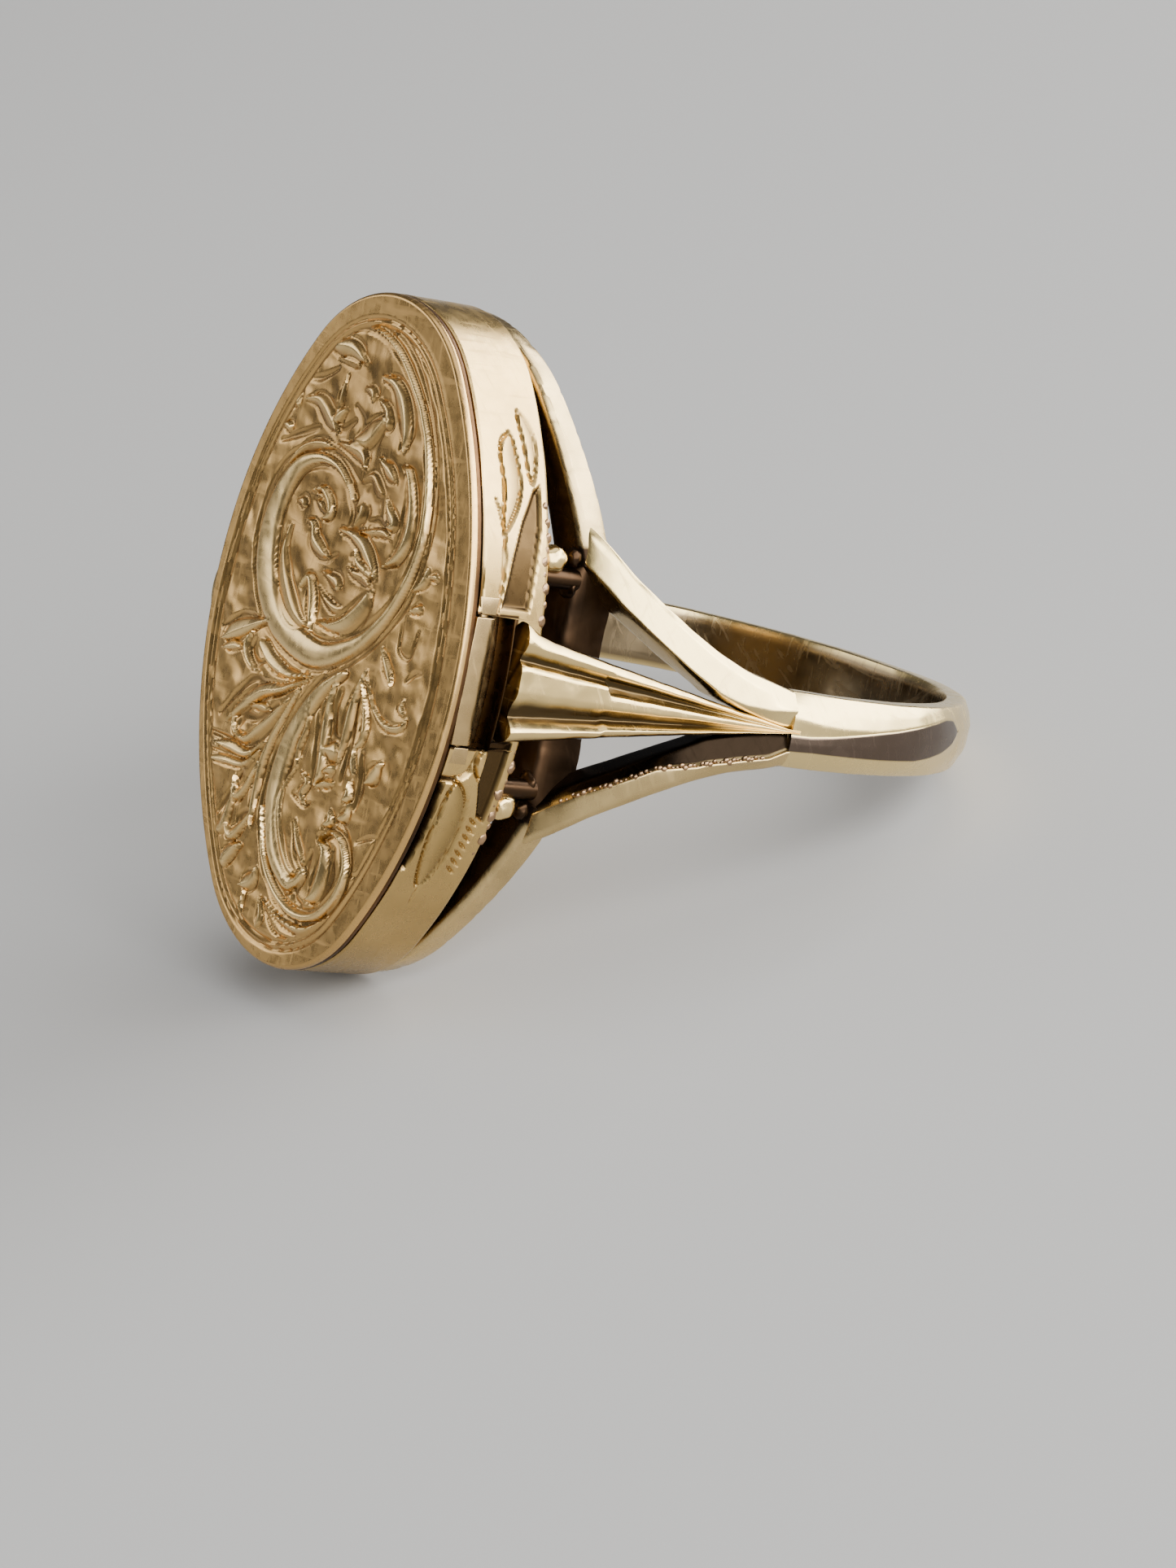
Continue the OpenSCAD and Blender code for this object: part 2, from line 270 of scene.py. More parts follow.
def hand_worn_metal():
    """Colour, roughness and height of metal that has been worn for years."""
    colour, number = "NodeSocketColor", "NodeSocketFloat"
    group = bpy.data.node_groups.new("hand_worn_metal", "ShaderNodeTree")
    for label, kind in (("Metal", colour), ("Tarnish", colour), ("Tarnish Amount", number),
                        ("Polish", number), ("Scratch Depth", number)):
        group.interface.new_socket(label, in_out="INPUT", socket_type=kind)
    for label, kind in (("Color", colour), ("Roughness", number), ("Height", number)):
        group.interface.new_socket(label, in_out="OUTPUT", socket_type=kind)
    given = group.nodes.new("NodeGroupInput").outputs
    result = group.nodes.new("NodeGroupOutput").inputs

    place = add(group, "ShaderNodeTexCoord").outputs["Object"]
    clouds, fine = cloudy(group, place, 420.0, 5.0), cloudy(group, place, 2600.0, 4.0)
    brushed = []
    for turn, stretch in (((0.3, 0.5, 0.2), (1, 0.04, 0.12)), ((1.2, 0.1, 0.9), (0.05, 1, 0.1))):
        way = add(group, "ShaderNodeMapping", {"Vector": place}, Rotation=turn, Scale=stretch).outputs[0]
        brushed.append(spread(group, cloudy(group, way, 9000.0, 2.0), 0.58, 0.72))
    scratches = combine(group, "MAXIMUM", *brushed)
    patches = combine(group, "MULTIPLY", spread(group, clouds, 0.42, 0.7), given["Tarnish Amount"])
    rough = combine(group, "MULTIPLY_ADD", spread(group, fine, 0.3, 0.7), 0.12, given["Polish"])
    dents = combine(group, "MULTIPLY_ADD", scratches, -0.4, clouds)
    feed(group, result, (mix_colour(group, patches, given["Metal"], given["Tarnish"]),
                         combine(group, "MULTIPLY_ADD", scratches, 0.12, rough),
                         combine(group, "MULTIPLY", dents, given["Scratch Depth"])))
    return group


HAND_WORN = hand_worn_metal()


def finish(name):
    """A new material, its node tree and its shader's inputs."""
    material = bpy.data.materials.new(name)
    material.use_nodes = True
    return material, material.node_tree, material.node_tree.nodes["Principled BSDF"].inputs


def gold_finish(name, metal, tarnish, amount, polish, scratch, shade_colour=None, highlight_colour=None):
    """Worn gold. A shade colour is painted as shade where the piece's own painted-shade values mark it,
    and a highlight colour is painted as a highlight where its painted-highlight values mark it."""
    material, tree, shader = finish(name)
    shader["Metallic"].default_value = 1.0
    worn = tree.nodes.new("ShaderNodeGroup")
    worn.node_tree = HAND_WORN
    feed(tree, worn.inputs, (metal, tarnish, amount, polish, scratch))
    colour = worn.outputs["Color"]
    # paints the highlight and the shade over the metal's colour
    for label, marked in (("painted_highlight", highlight_colour), ("painted_shade", shade_colour)):
        if marked:
            mark = add(tree, "ShaderNodeAttribute", attribute_name=label).outputs["Fac"]
            colour = mix_colour(tree, mark, colour, marked)
    tree.links.new(colour, shader["Base Color"])
    tree.links.new(worn.outputs["Roughness"], shader["Roughness"])
    tree.links.new(bump(tree, worn.outputs["Height"], 0.35), shader["Normal"])
    return material


# Metal, tarnish, then how much of it, polish (less is brighter) and scratch depth, and for some the colour
# of painted shade and of a painted highlight
GOLD = (0.82, 0.6, 0.25, 1)
BROWN = (0.14, 0.08, 0.03, 1)
# Near black, used as tarnish and as the colour of painted shade
NEAR_BLACK = (0.02, 0.012, 0.007, 1)
BRIGHT_GOLD = gold_finish("bright_gold", GOLD, BROWN, 0.12, 0.16, 0.2)
BAND_GOLD = gold_finish("band_gold", (0.8, 0.61, 0.27, 1), BROWN, 0.04, 0.16, 0.03,
                        shade_colour=(0.11, 0.08, 0.06, 1))
# The lower arms' gold is a darker copy of the band's, as painted shade, with more tarnish; its shade colour
# is near black
LOWER_ARM_GOLD = gold_finish("lower_arm_shaded_gold", (0.6, 0.44, 0.2, 1), BROWN, 0.25, 0.22, 0.1,
                             shade_colour=(0.012, 0.008, 0.005, 1))
FAN_GOLD = gold_finish("fan_gold", GOLD, BROWN, 0.06, 0.14, 0.12, shade_colour=(0.075, 0.05, 0.022, 1))
WALL_GOLD = gold_finish("wall_gold", (0.68, 0.46, 0.17, 1), BROWN, 0.2, 0.22, 0.2,
                        shade_colour=(0.05, 0.028, 0.012, 1))
# Near-black gold for the lid's rim, painted as the shade in the gap where the lid meets the wall
SEAM_SHADE_GOLD = gold_finish("seam_shade_gold", (0.12, 0.06, 0.025, 1), NEAR_BLACK, 0.7, 0.35, 0.5)
WORN_GOLD = gold_finish("worn_gold", (0.55, 0.38, 0.17, 1), BROWN, 0.25, 0.22, 0.2)
ARCH_GOLD = gold_finish("arch_gold", (0.66, 0.48, 0.22, 1), NEAR_BLACK, 0.4, 0.2, 0.4, shade_colour=NEAR_BLACK)
# Near-black gold for the gallery's bars and pegs: tarnish, and painted shade where they lie under the
# shoulders
DARK_GOLD = gold_finish("tarnish_and_shade_gold", (0.06, 0.034, 0.018, 1), NEAR_BLACK, 0.9, 0.28, 0.4)
SOLDER = gold_finish("old_solder", (0.35, 0.22, 0.12, 1), NEAR_BLACK, 0.6, 0.25, 0.4)
ENGRAVED_GOLD = gold_finish("engraved_gold", (0.68, 0.42, 0.15, 1), BROWN, 0.15, 0.22, 0.3,
                            shade_colour=(0.1, 0.05, 0.018, 1), highlight_colour=(0.9, 0.64, 0.28, 1))


def window_finish():
    material, _, shader = finish("clear_window")
    shader["Base Color"].default_value = (0.96, 0.98, 0.98, 1)
    shader["Roughness"].default_value = 0.03
    shader["Transmission Weight"].default_value = 1.0
    shader["IOR"].default_value = 1.45
    return material


def paper_finish():
    """Aged card: cream, foxed in soft patches, with a faint fibre."""
    material, tree, shader = finish("aged_card")
    shader["Roughness"].default_value = 0.9
    shader["IOR"].default_value = 1.45
    place = add(tree, "ShaderNodeTexCoord").outputs["Object"]
    foxing = spread(tree, cloudy(tree, place, 350.0, 4.0), 0.5, 0.75)
    cream, brown = (0.84, 0.77, 0.62, 1), (0.55, 0.4, 0.24, 1)
    tree.links.new(mix_colour(tree, foxing, cream, brown), shader["Base Color"])
    tree.links.new(bump(tree, cloudy(tree, place, 6000.0, 3.0), 0.4), shader["Normal"])
    return material


CLEAR = window_finish()
CARD = paper_finish()

# ---------------------------------------------------------------- engraving


def curve_through(points, count):
    """A smooth curve through the given points, as an array of count places."""
    knots = np.asarray(points, float)
    padded = np.vstack([2 * knots[0] - knots[1], knots, 2 * knots[-1] - knots[-2]])
    spans = len(knots) - 1
    t = np.linspace(0, spans, count)
    span = np.minimum(t.astype(int), spans - 1)
    t = (t - span)[:, None]
    a, b, c, d = (padded[span + k] for k in range(4))
    return 0.5 * (2 * b + (c - a) * t + (2 * a - 5 * b + 4 * c - d) * t ** 2
                  + (3 * b - a - 3 * c + d) * t ** 3)


def stroke_places(x, z, points, widest):
    """For the places near a stroke: which they are, how far along it, and the signed distance."""
    line = curve_through(points, 6 * len(points) + 2)
    low, high = line.min(0) - widest, line.max(0) + widest
    near = np.flatnonzero((x > low[0]) & (x < high[0]) & (z > low[1]) & (z < high[1]))
    best = np.full(len(near), 1e9)
    along = np.zeros(len(near))
    side = np.ones(len(near))
    px, pz = x[near], z[near]
    last = len(line) - 1
    for k in range(last):
        ax, az = line[k]
        dx, dz = line[k + 1] - line[k]
        t = np.clip(((px - ax) * dx + (pz - az) * dz) / (dx * dx + dz * dz), 0, 1)
        gap = np.hypot(px - ax - t * dx, pz - az - t * dz)
        closer = gap < best
        best = np.where(closer, gap, best)
        along = np.where(closer, (k + t) / last, along)
        side = np.where(closer, np.sign(dx * (pz - az) - dz * (px - ax)), side)
    return near, along, best * side


class Relief:
    """Heights cut into or left standing on a surface, in millimetres, and the shade painted in them."""

    def __init__(self, x, z):
        self.x, self.z = x, z
        self.height = np.zeros_like(x)
        self.painted_shading = np.zeros_like(x)

    def cut(self, points, width, depth, blunt=0.0):
        """A V-shaped cut that swells in the middle and runs out at its ends."""
        near, along, gap = stroke_places(self.x, self.z, points, width)
        swell = np.sin(np.pi * np.clip(along * (1 - blunt) + blunt / 2, 0, 1)) ** 0.6
        room = np.maximum(width * swell, 1e-6)
        depth = -depth * swell * np.clip(1 - np.abs(gap) / room, 0, None)
        self.height[near] = np.minimum(self.height[near], 0.3 * self.height[near] + depth)

    def leaf(self, points, width, rise, lean=0.3):
        """A leaf that stands up, widest past its middle, with its crest leaning to one side."""
        near, along, gap = stroke_places(self.x, self.z, points, width * 1.7)
        swell = (0.25 + 0.75 * np.sin(np.pi * along ** 1.3)) * np.clip((1 - along) * 6, 0, 1) ** 0.5
        q = gap / np.maximum(width * swell, 1e-6)
        crest = np.clip(np.where(q > lean, (1 - q) / (1 - lean), (1 + q) / (1 + lean)), 0, 1)
        raised = rise * crest ** 0.8
        edge = np.clip(1 - np.abs(np.abs(q) - 1.2) / 0.35, 0, 1)
        lifted = np.where(np.abs(q) < 1, np.maximum(self.height[near], raised), self.height[near])
        self.height[near] = lifted - 0.5 * rise * edge * np.clip(swell * 2, 0, 1)

    def stem(self, points, widths, rise, groove):
        """A long rounded stem, its half-width given along its length, with a groove each side."""
        widest = max(widths) * 1.8 + 0.1
        near, along, gap = stroke_places(self.x, self.z, points, widest)
        half = np.interp(along, np.linspace(0, 1, len(widths)), widths)
        q = np.abs(gap) / half
        dome = rise * np.sqrt(np.clip(1 - q ** 2, 0, 1))
        trench = groove * np.clip(1 - np.abs(np.abs(gap) - half - 0.07) / 0.09, 0, 1)
        raised = np.where(q < 1, np.maximum(dome, self.height[near]), self.height[near])
        self.height[near] = raised - trench

    def petal(self, points, width, rise, groove, painted_shading=0.0):
        """A rounded petal, pointed at both ends, with a V-shaped cut round it and painted shade on one
        half.
        """
        near, along, gap = stroke_places(self.x, self.z, points, width + 0.15)
        half = width * np.sin(np.pi * along) ** 0.65
        away = np.abs(gap) - half
        dome = rise * np.sqrt(np.clip(1 - (gap / np.maximum(half, 1e-6)) ** 2, 0, 1))
        trench = groove * np.clip(1 - np.abs(away - 0.03) / 0.1, 0, 1)
        self.height[near] = np.where(away < 0, dome, self.height[near]) - trench
        # painted shade over the petal, darker towards one side
        shade = np.clip(0.5 + 0.6 * gap / np.maximum(half, 1e-6), 0.2, 1) * np.clip(-away / 0.05, 0, 1)
        self.painted_shading[near] = np.maximum(self.painted_shading[near], painted_shading * shade)

    def facet(self, corners, depth):
        """A broad flat cut with the given outline, painted dark as shade to its edges."""
        corners = np.asarray(corners, float)
        inside = np.zeros(len(self.x), bool)
        nearest = np.full(len(self.x), 1e9)
        for (ax, az), (bx, bz) in zip(corners, np.roll(corners, -1, axis=0)):
            crosses = ((az > self.z) != (bz > self.z)) \
                & (self.x < (bx - ax) * (self.z - az) / (bz - az if bz != az else 1e-9) + ax)
            inside ^= crosses
            length = (bx - ax) ** 2 + (bz - az) ** 2
            t = np.clip(((self.x - ax) * (bx - ax) + (self.z - az) * (bz - az)) / length, 0, 1)
            gap = np.hypot(self.x - ax - t * (bx - ax), self.z - az - t * (bz - az))
            nearest = np.minimum(nearest, gap)
        cut = -depth * np.clip(nearest / 0.14, 0, 1) * inside
        self.height = np.minimum(self.height, cut)
        # the facet is painted dark all over, as shade
        self.painted_shading = np.maximum(self.painted_shading, np.clip(nearest / 0.08, 0, 1) * inside)


# ---------------------------------------------------------------- pieces kept from the frame


def softened(node, material, body, slot, width):
    """A copy of a CAD node with its sharp edges worn round."""
    bm = bmesh.new()
    bm.from_mesh(frame["nodes"][node].data)
    bmesh.ops.transform(bm, matrix=LAY_DOWN.inverted(), verts=bm.verts)
    bmesh.ops.remove_doubles(bm, verts=bm.verts, dist=1e-4)
    bmesh.ops.dissolve_limit(bm, angle_limit=math.radians(1), verts=bm.verts, edges=bm.edges)
    sharp = [e for e in bm.edges if e.is_manifold and e.calc_face_angle(0) > math.radians(28)]
    bmesh.ops.bevel(bm, geom=sharp, offset=width, offset_type="OFFSET", segments=3, profile=0.5,
                    affect="EDGES", clamp_overlap=True, material=-1)
    piece(bm, node + "_worn", material, body, (node,))


# Nodes that need nothing else: finish, body, colour slot and how wide their edges are worn
SOFTENED = (
    ("lid_rim", SEAM_SHADE_GOLD, "lid", "gold", 0.03),
    ("lid_knuckle", WORN_GOLD, "lid", "gold", 0.04),
    ("lid_thumb_lip", BRIGHT_GOLD, "lid", "gold", 0.03),
    ("case_back", WORN_GOLD, "ring", "gold", 0.04),
    ("case_inner_lip", WORN_GOLD, "ring", "gold_worn", 0.04),
    ("case_knuckle_upper", WORN_GOLD, "ring", "gold", 0.03),
    ("case_knuckle_lower", WORN_GOLD, "ring", "gold", 0.03),
    ("hinge_pin", WORN_GOLD, "ring", "gold_worn", 0.03),
)

# ---------------------------------------------------------------- shank

SPLIT_ANGLE = math.degrees(math.acos(SPLIT_Y / BAND_R))
HALF_FRONT = SHANK_HIGH[2]   # half the shank's width at the shoulders
HALF_BACK = 0.95             # and at the back
EDGE_R, BEVEL_R, RIDGE_R = 9.12, 9.33, 9.49    # radii of its upper edge, bevel and ridge
LOW_BEVEL_R, LOW_EDGE_R = 9.31, 9.06           # and of its lower bevel and edge

# Heights on the shank's side, by angle from the face: the ridge that runs on from the upper arm,
# and the upper and lower edges of the leaf filed below it
RIDGE = ([75, 80, 85, 90, 95], [0.42, 0.3, 0.25, 0.25, 0.3])
LEAF_TOP = ([75, 79, 83, 87, 90, 95, 100, 105, 110, 115, 119, 122],
            [-0.1, -0.08, 0.0, 0.1, 0.17, 0.29, 0.4, 0.52, 0.63, 0.74, 0.7, 0.35])
LEAF_LOW = ([75, 80, 95, 105, 110, 115, 119, 122], [-0.6, -0.56, -0.55, -0.52, -0.43, -0.28, -0.05, 0.33])
LEAF_END = LEAF_TOP[0][-1]


def shank():
    """The band, cut off at the split, with a leaf filed in each side."""
    rings = []
    for angle in np.linspace(SPLIT_ANGLE, 360 - SPLIT_ANGLE, 220):
        side = min(angle, 360 - angle)
        half = np.interp(side, [SPLIT_ANGLE, 180], [HALF_FRONT, HALF_BACK])
        top, low = np.interp(side, *LEAF_TOP), np.interp(side, *LEAF_LOW)
        ridge = max(np.interp(side, *RIDGE), top + 0.03)
        round_over = np.interp(side, [104, 124], [0, 1])
        lead_in = np.interp(side, [SPLIT_ANGLE, 84], [1, 0])
        spots = [(half, FINGER_R + 0.02), (half, EDGE_R + 0.06 * round_over - 0.1 * lead_in),
                 ((half + ridge) / 2, BEVEL_R), (ridge, RIDGE_R), (top, BAND_R - 0.04),
                 (top - 0.05, BAND_R), ((top + low) / 2, BAND_R + 0.02), (low + 0.05, BAND_R),
                 (low, BAND_R - 0.01), ((low - half) / 2, LOW_BEVEL_R),
                 (-half, LOW_EDGE_R + 0.1 * round_over), (-half, FINGER_R + 0.02)]
        outline = []
        for z, radius in spots:
            dome = BAND_R - 0.32 * (z / half) ** 2
            if radius > FINGER_R + 0.1:
                radius = radius * (1 - round_over) + min(dome, BAND_R) * round_over
            outline.append((radius, z))
        outline = rounded(outline, 0.12)
        a = math.radians(angle)
        rings.append([(r * math.sin(a), -r * math.cos(a), z) for r, z in outline])
    bm = loft(np.array(rings))
    wobble(bm, 0.01, 1.1, 3.0)
    obj = piece(bm, "shank_worn", BAND_GOLD, "ring", ("shank",), 32)
    # Painted light: the filed leaf is painted dark as a painted reflection, and the inside of the band is
    # painted dark as shade
    places = upright_places(obj)
    side = np.degrees(np.arctan2(np.abs(places[:, 0]), -places[:, 1]))
    above, below = np.interp(side, *LEAF_TOP), np.interp(side, *LEAF_LOW)
    inside = np.minimum(above - places[:, 2], places[:, 2] - below)
    radius = np.hypot(places[:, 0], places[:, 1])
    leaf = np.clip(inside / 0.04, 0, 1) * (radius > 9.2) * (side < LEAF_END)
    paint(obj, "painted_shade", np.maximum(leaf, 0.85 * (radius < FINGER_R + 0.08)))


# ---------------------------------------------------------------- shoulders

# The arms lie on a flare that leaves the band's radius at the shank for the gallery's
GALLERY_R = 10.1     # radius of the gallery band over the finger
JOINT_X = 5.5625     # the arms' joints with the gallery
JOINT_Y = math.sqrt(GALLERY_R ** 2 - JOINT_X ** 2)
FLARE_SHIFT = (GALLERY_R ** 2 - BAND_R ** 2) / (2 * (JOINT_Y - SPLIT_Y))
FLARE_R = math.hypot(math.sqrt(BAND_R ** 2 - SPLIT_Y ** 2), SPLIT_Y - FLARE_SHIFT)

# Side view of an arm: distance in front of the bore's centre, then heights of its two edges
ARM_OUTER = ([2.45, 3.0, 4.0, 5.0, 6.0, 7.0, 7.5, 8.0, 8.35, 8.6],
             [HALF_FRONT, 1.28, 1.55, 2.02, 2.68, 3.47, 3.98, 4.52, 4.84, 5.0])
ARM_INNER = ([2.45, 3.0, 4.0, 4.7, 5.0, 5.5, 6.0, 6.5, 7.0, 7.5, 8.0, 8.6],
             [0.05, 0.13, 0.35, 0.58, 0.77, 1.08, 1.42, 1.8, 2.2, 2.62, 3.15, 3.8])
ARM_END = 8.47
ARM_TIP = 0.2        # length of its rounded end

# Where the ridge along an arm lies, across it from the fan's side (-1) to its outer side (1)
UPPER_RIDGE = ([2.45, 3.2, 4.0, 5.0, 6.0, 8.5], [0.0, -0.42, -0.66, -0.76, -0.8, -0.84])
LOWER_RIDGE = ([2.45, 3.0, 4.2, 5.0, 6.0, 7.0, 8.0], [-0.02, 0.3, 0.25, 0.08, -0.5, -0.55, -0.75])


def arm_section(upper, ridge, lean):
    """Section of an arm: places across it and their depth under the flare, its face leaning out."""
    if upper:
        front = [(1, 0.95), (1, 0.34 + 0.12 * lean), (0.92, 0.2 + 0.11 * lean), (0.5, 0.1 + 0.07 * lean),
                 (ridge + 0.12, 0.02), (ridge, 0.01),
                 (ridge - 0.06, 0.03), (min(-0.97, ridge - 0.12), 0.16), (-1, 0.3)]
    else:
        front = [(1, 0.95), (1, 0.4), (0.85, 0.22), (0.5, 0.09), (ridge + 0.08, 0.0), (ridge, 0.01),
                 (ridge - 0.08, 0.1), (-0.95, 0.3), (-1, 0.42)]
    return front + [(-1, 0.95), (-0.8, 1.05), (0.8, 1.05)]


def flare_x(forward, depth):
    """How far out a place at the given depth under the flare lies."""
    return math.sqrt(max((FLARE_R - depth) ** 2 - (forward - FLARE_SHIFT) ** 2, 0.01))


def oval_x(z, inset=0.0):
    """Half-width of the inset oval at height z, along its long sides."""
    return math.sqrt(max((LONG_R - inset) ** 2 - z * z, 0)) - ARC_X


def smoothed(knots, values, at):
    """A smooth curve through knots and values, read at the given places."""
    line = curve_through(list(zip(knots, values)), 400)
    return np.interp(at, line[:, 0], line[:, 1])


def arm_middle(forward):
    """Middle height and half-height of an arm at the given places."""
    outer, inner = smoothed(*ARM_OUTER, forward), smoothed(*ARM_INNER, forward)
    return (outer + inner) / 2, (outer - inner) / 2


def arm_ridge(upper, forward):
    """Where the ridge lies across an arm."""
    return np.interp(forward, *(UPPER_RIDGE if upper else LOWER_RIDGE))


def put_on_side(bm, stem, hinge_side):
    """Mirrors a piece made for the hinge's side if it is for the other, and names it by its side."""
    if hinge_side:
        return stem + "hinge_side"
    mirrored(bm, "X")
    return stem + "catch_side"


def shoulder_arm(upper, hinge_side):
    """An arm from the shank to the end of the oval. The lower arms are made as upper ones and turned."""
    forward = np.concatenate([np.linspace(SPLIT_Y - 0.05, ARM_END - ARM_TIP, 64),
                              np.linspace(ARM_END - 0.16, ARM_END, 6)])
    rings = []
    for u, middle, half, ridge in zip(forward, *arm_middle(forward), arm_ridge(upper, forward)):
        into_tip = min(max((u - ARM_END + ARM_TIP) / ARM_TIP, 0), 1)
        tuck = 0.16 * (1 - math.sqrt(1 - into_tip ** 2))
        outline = []
        for across, depth in arm_section(upper, ridge, np.interp(u, [6.4, 7.8], [1, 0.7])):
            x = max(flare_x(u, depth + tuck), oval_x(middle + across * half, 0.75))
            outline.append((x, middle + across * (half - tuck)))
        rings.append([(x, -u, z) for x, z in rounded(outline, 0.14)])
    bm = loft(np.array(rings))
    wobble(bm, 0.012, 1.6, 7.0 if upper else 2.0)
    if not upper:
        mirrored(bm, "Z")
    node = put_on_side(bm, "shoulder_upper_" if upper else "shoulder_lower_", hinge_side)
    obj = piece(bm, node + "_worn", BAND_GOLD if upper else LOWER_ARM_GOLD, "ring", (node,), 32)
    # Painted shade: the part of each arm beyond its ridge is painted dark, fully on the lower arms and half
    # as dark on the upper ones, fading out towards the shank
    places = upright_places(obj)
    middle, half = arm_middle(-places[:, 1])
    across = (np.abs(places[:, 2]) - middle) / half
    below = np.clip((arm_ridge(upper, -places[:, 1]) - across) / 0.12, 0, 1)
    paint(obj, "painted_shade", 0.5 * below * np.clip((-places[:, 1] - 3) / 2, 0, 1) if upper else below)


def arm_solder(hinge_side):
    """The rough line of solder along the ridge of a lower arm."""
    bm = bmesh.new()
    forward = np.linspace(3.2, 7.9, 46)
    for k, (u, middle, half) in enumerate(zip(forward, *arm_middle(forward))):
        z = middle + half * (arm_ridge(False, u) - 0.06 + 0.07 * math.sin(2.3 * k))
        ball(bm, (flare_x(u, 0.05), -u, -z), 0.07 + 0.025 * math.sin(5.1 * k), (0.8, 1.3, 1.0), 2)
    piece(bm, put_on_side(bm, "arm_solder_", hinge_side), SOLDER, "ring", (), 60)


# Section of the fan: across it from its upper edge (0) to its lower (1), then its depth, for its
# outer half and for its root, where the upper flute is wider
FAN_WIDE = ((0, 0.55), (0, 0.24), (0.03, 0.12), (0.07, 0.03), (0.1, 0.0), (0.15, 0.08), (0.2, 0.22),
            (0.245, 0.28), (0.285, 0.13), (0.32, 0.06), (0.42, 0.05), (0.52, 0.04), (0.57, 0.08),
            (0.63, 0.2), (0.7, 0.3), (0.75, 0.33), (0.79, 0.2), (0.83, 0.08), (0.87, 0.0), (0.91, 0.05),
            (0.96, 0.2), (1, 0.55))
FAN_ROOT = ((0, 0.55), (0, 0.24), (0.03, 0.12), (0.08, 0.03), (0.12, 0.0), (0.16, 0.1), (0.21, 0.26),
            (0.29, 0.32), (0.37, 0.2), (0.4, 0.08), (0.46, 0.05), (0.54, 0.05), (0.58, 0.1), (0.63, 0.22),
            (0.69, 0.3), (0.74, 0.32), (0.77, 0.2), (0.81, 0.08), (0.85, 0.0), (0.89, 0.05), (0.95, 0.2),
            (1, 0.55))
FAN_STEP = 8.2       # where the middle rib widens
STEP_RUN = 0.12      # and over what length
FAN_END = -FAN_LOW[1]
FAN_BACK = 0.96      # depth of the fan's back


def fan_x(forward):
    """How far out the fan's face would lie uncut: it runs on straight from the end of the shank."""
    angle = math.radians(SPLIT_ANGLE)
    return BAND_R * math.sin(angle) - (forward - SPLIT_Y) * (1 / math.tan(angle))


def shoulder_fan(hinge_side):
    """The fluted fan between the arms."""
    forward = np.concatenate([np.linspace(SPLIT_Y - 0.25, FAN_STEP - STEP_RUN, 60),
                              np.linspace(FAN_STEP, FAN_END, 40)])
    wide, root = np.array(FAN_WIDE), np.array(FAN_ROOT)
    rings = []
    for u in forward:
        half = np.interp(u, [SPLIT_Y, FAN_END], [0.05, FAN_HIGH[2]])
        share = np.clip((u - FAN_STEP + STEP_RUN) / STEP_RUN, 0, 1)
        section = root * (1 - share) + wide * share
        deep = np.interp(u, [SPLIT_Y, 3.6, 5.0, 8.0], [0.1, 0.3, 0.75, 1.0])
        curl = np.interp(u, [FAN_END - 0.35, FAN_END - 0.1, FAN_END], [0, 0.03, 0.02])
        horn = np.interp(u, [FAN_END - 0.9, FAN_END - 0.45, FAN_END], [0, 0.06, 0.26])
        outline = []
        for across, depth in section:
            z = half * (1 - 2 * across) + horn * max(0, 1 - across / 0.12)
            outline.append((fan_x(u) - (depth * deep if depth < 0.5 else depth) + curl, z))
        back = fan_x(u) - FAN_BACK
        outline += [(back, -half * 0.9), (back, half * 0.9)]
        rings.append([(x, -u, z) for x, z in rounded(outline, 0.16)])
    bm = loft(np.array(rings))
    wobble(bm, 0.014, 2.1, 5.0)
    node = put_on_side(bm, "shoulder_fan_", hinge_side)
    obj = piece(bm, node + "_worn", FAN_GOLD, "ring", (node,), 35)
    places = upright_places(obj)
    # Painted shade: the flutes are painted darker the deeper they lie
    depth = fan_x(-places[:, 1]) - np.abs(places[:, 0])
    paint(obj, "painted_shade", np.clip((depth - 0.06) / 0.16, 0, 1))


# ---------------------------------------------------------------- gallery

GALLERY_INNER = 9.3                    # the gallery's inner radius over the finger
GALLERY_INSET, GALLERY_W = 0.1, 0.95   # how far it lies inside the oval, and its width
BRIDGE_INNER, BRIDGE_X = 8.9, 4.62     # inner radius and inner side of the bridge bars


def arch_height(x, radius):
    """Height of an arch of the given radius over the finger, up to the case's foot."""
    return min(math.sqrt(max(radius ** 2 - x * x, 0)), BED + 0.02)


def gallery_arch(upper):
    """Half of the gallery's oval, bent over the finger."""
    start = math.asin((JOINT_Z - 0.25) / (LONG_R - GALLERY_INSET))
    outer, inner = GALLERY_INSET, GALLERY_INSET + GALLERY_W
    low = GALLERY_INNER + 0.02
    rings = []
    for angle in even_normals(150, start - 0.02, math.pi - start + 0.02):
        spots = []
        for inset, radius in ((outer, GALLERY_R), (inner, GALLERY_R), (inner, low), (outer, low)):
            x, z = oval_point(np.array([angle]), inset)
            spots.append((x[0], -arch_height(x[0], radius), z[0]))
        rings.append(rounded(spots, 0.14))
    bm = loft(np.array(rings))
    pitted(bm, 0.05, 1.7)
    if not upper:
        mirrored(bm, "Z")
    node = "gallery_arch_" + ("upper" if upper else "lower")
    obj = piece(bm, node + "_worn", ARCH_GOLD, "ring", (node,), 35)
    places = upright_places(obj)
    # Painted shade: the arch's inner part, toward the case, and its ends at the arms are painted dark
    inward = np.clip((edge_distance(places[:, 0], places[:, 2]) - GALLERY_INSET - 0.08) / 0.15, 0, 1)
    ends = np.clip((JOINT_Z + 0.1 - np.abs(places[:, 2])) / 0.1, 0, 1)
    paint(obj, "painted_shade", np.maximum(inward, ends))


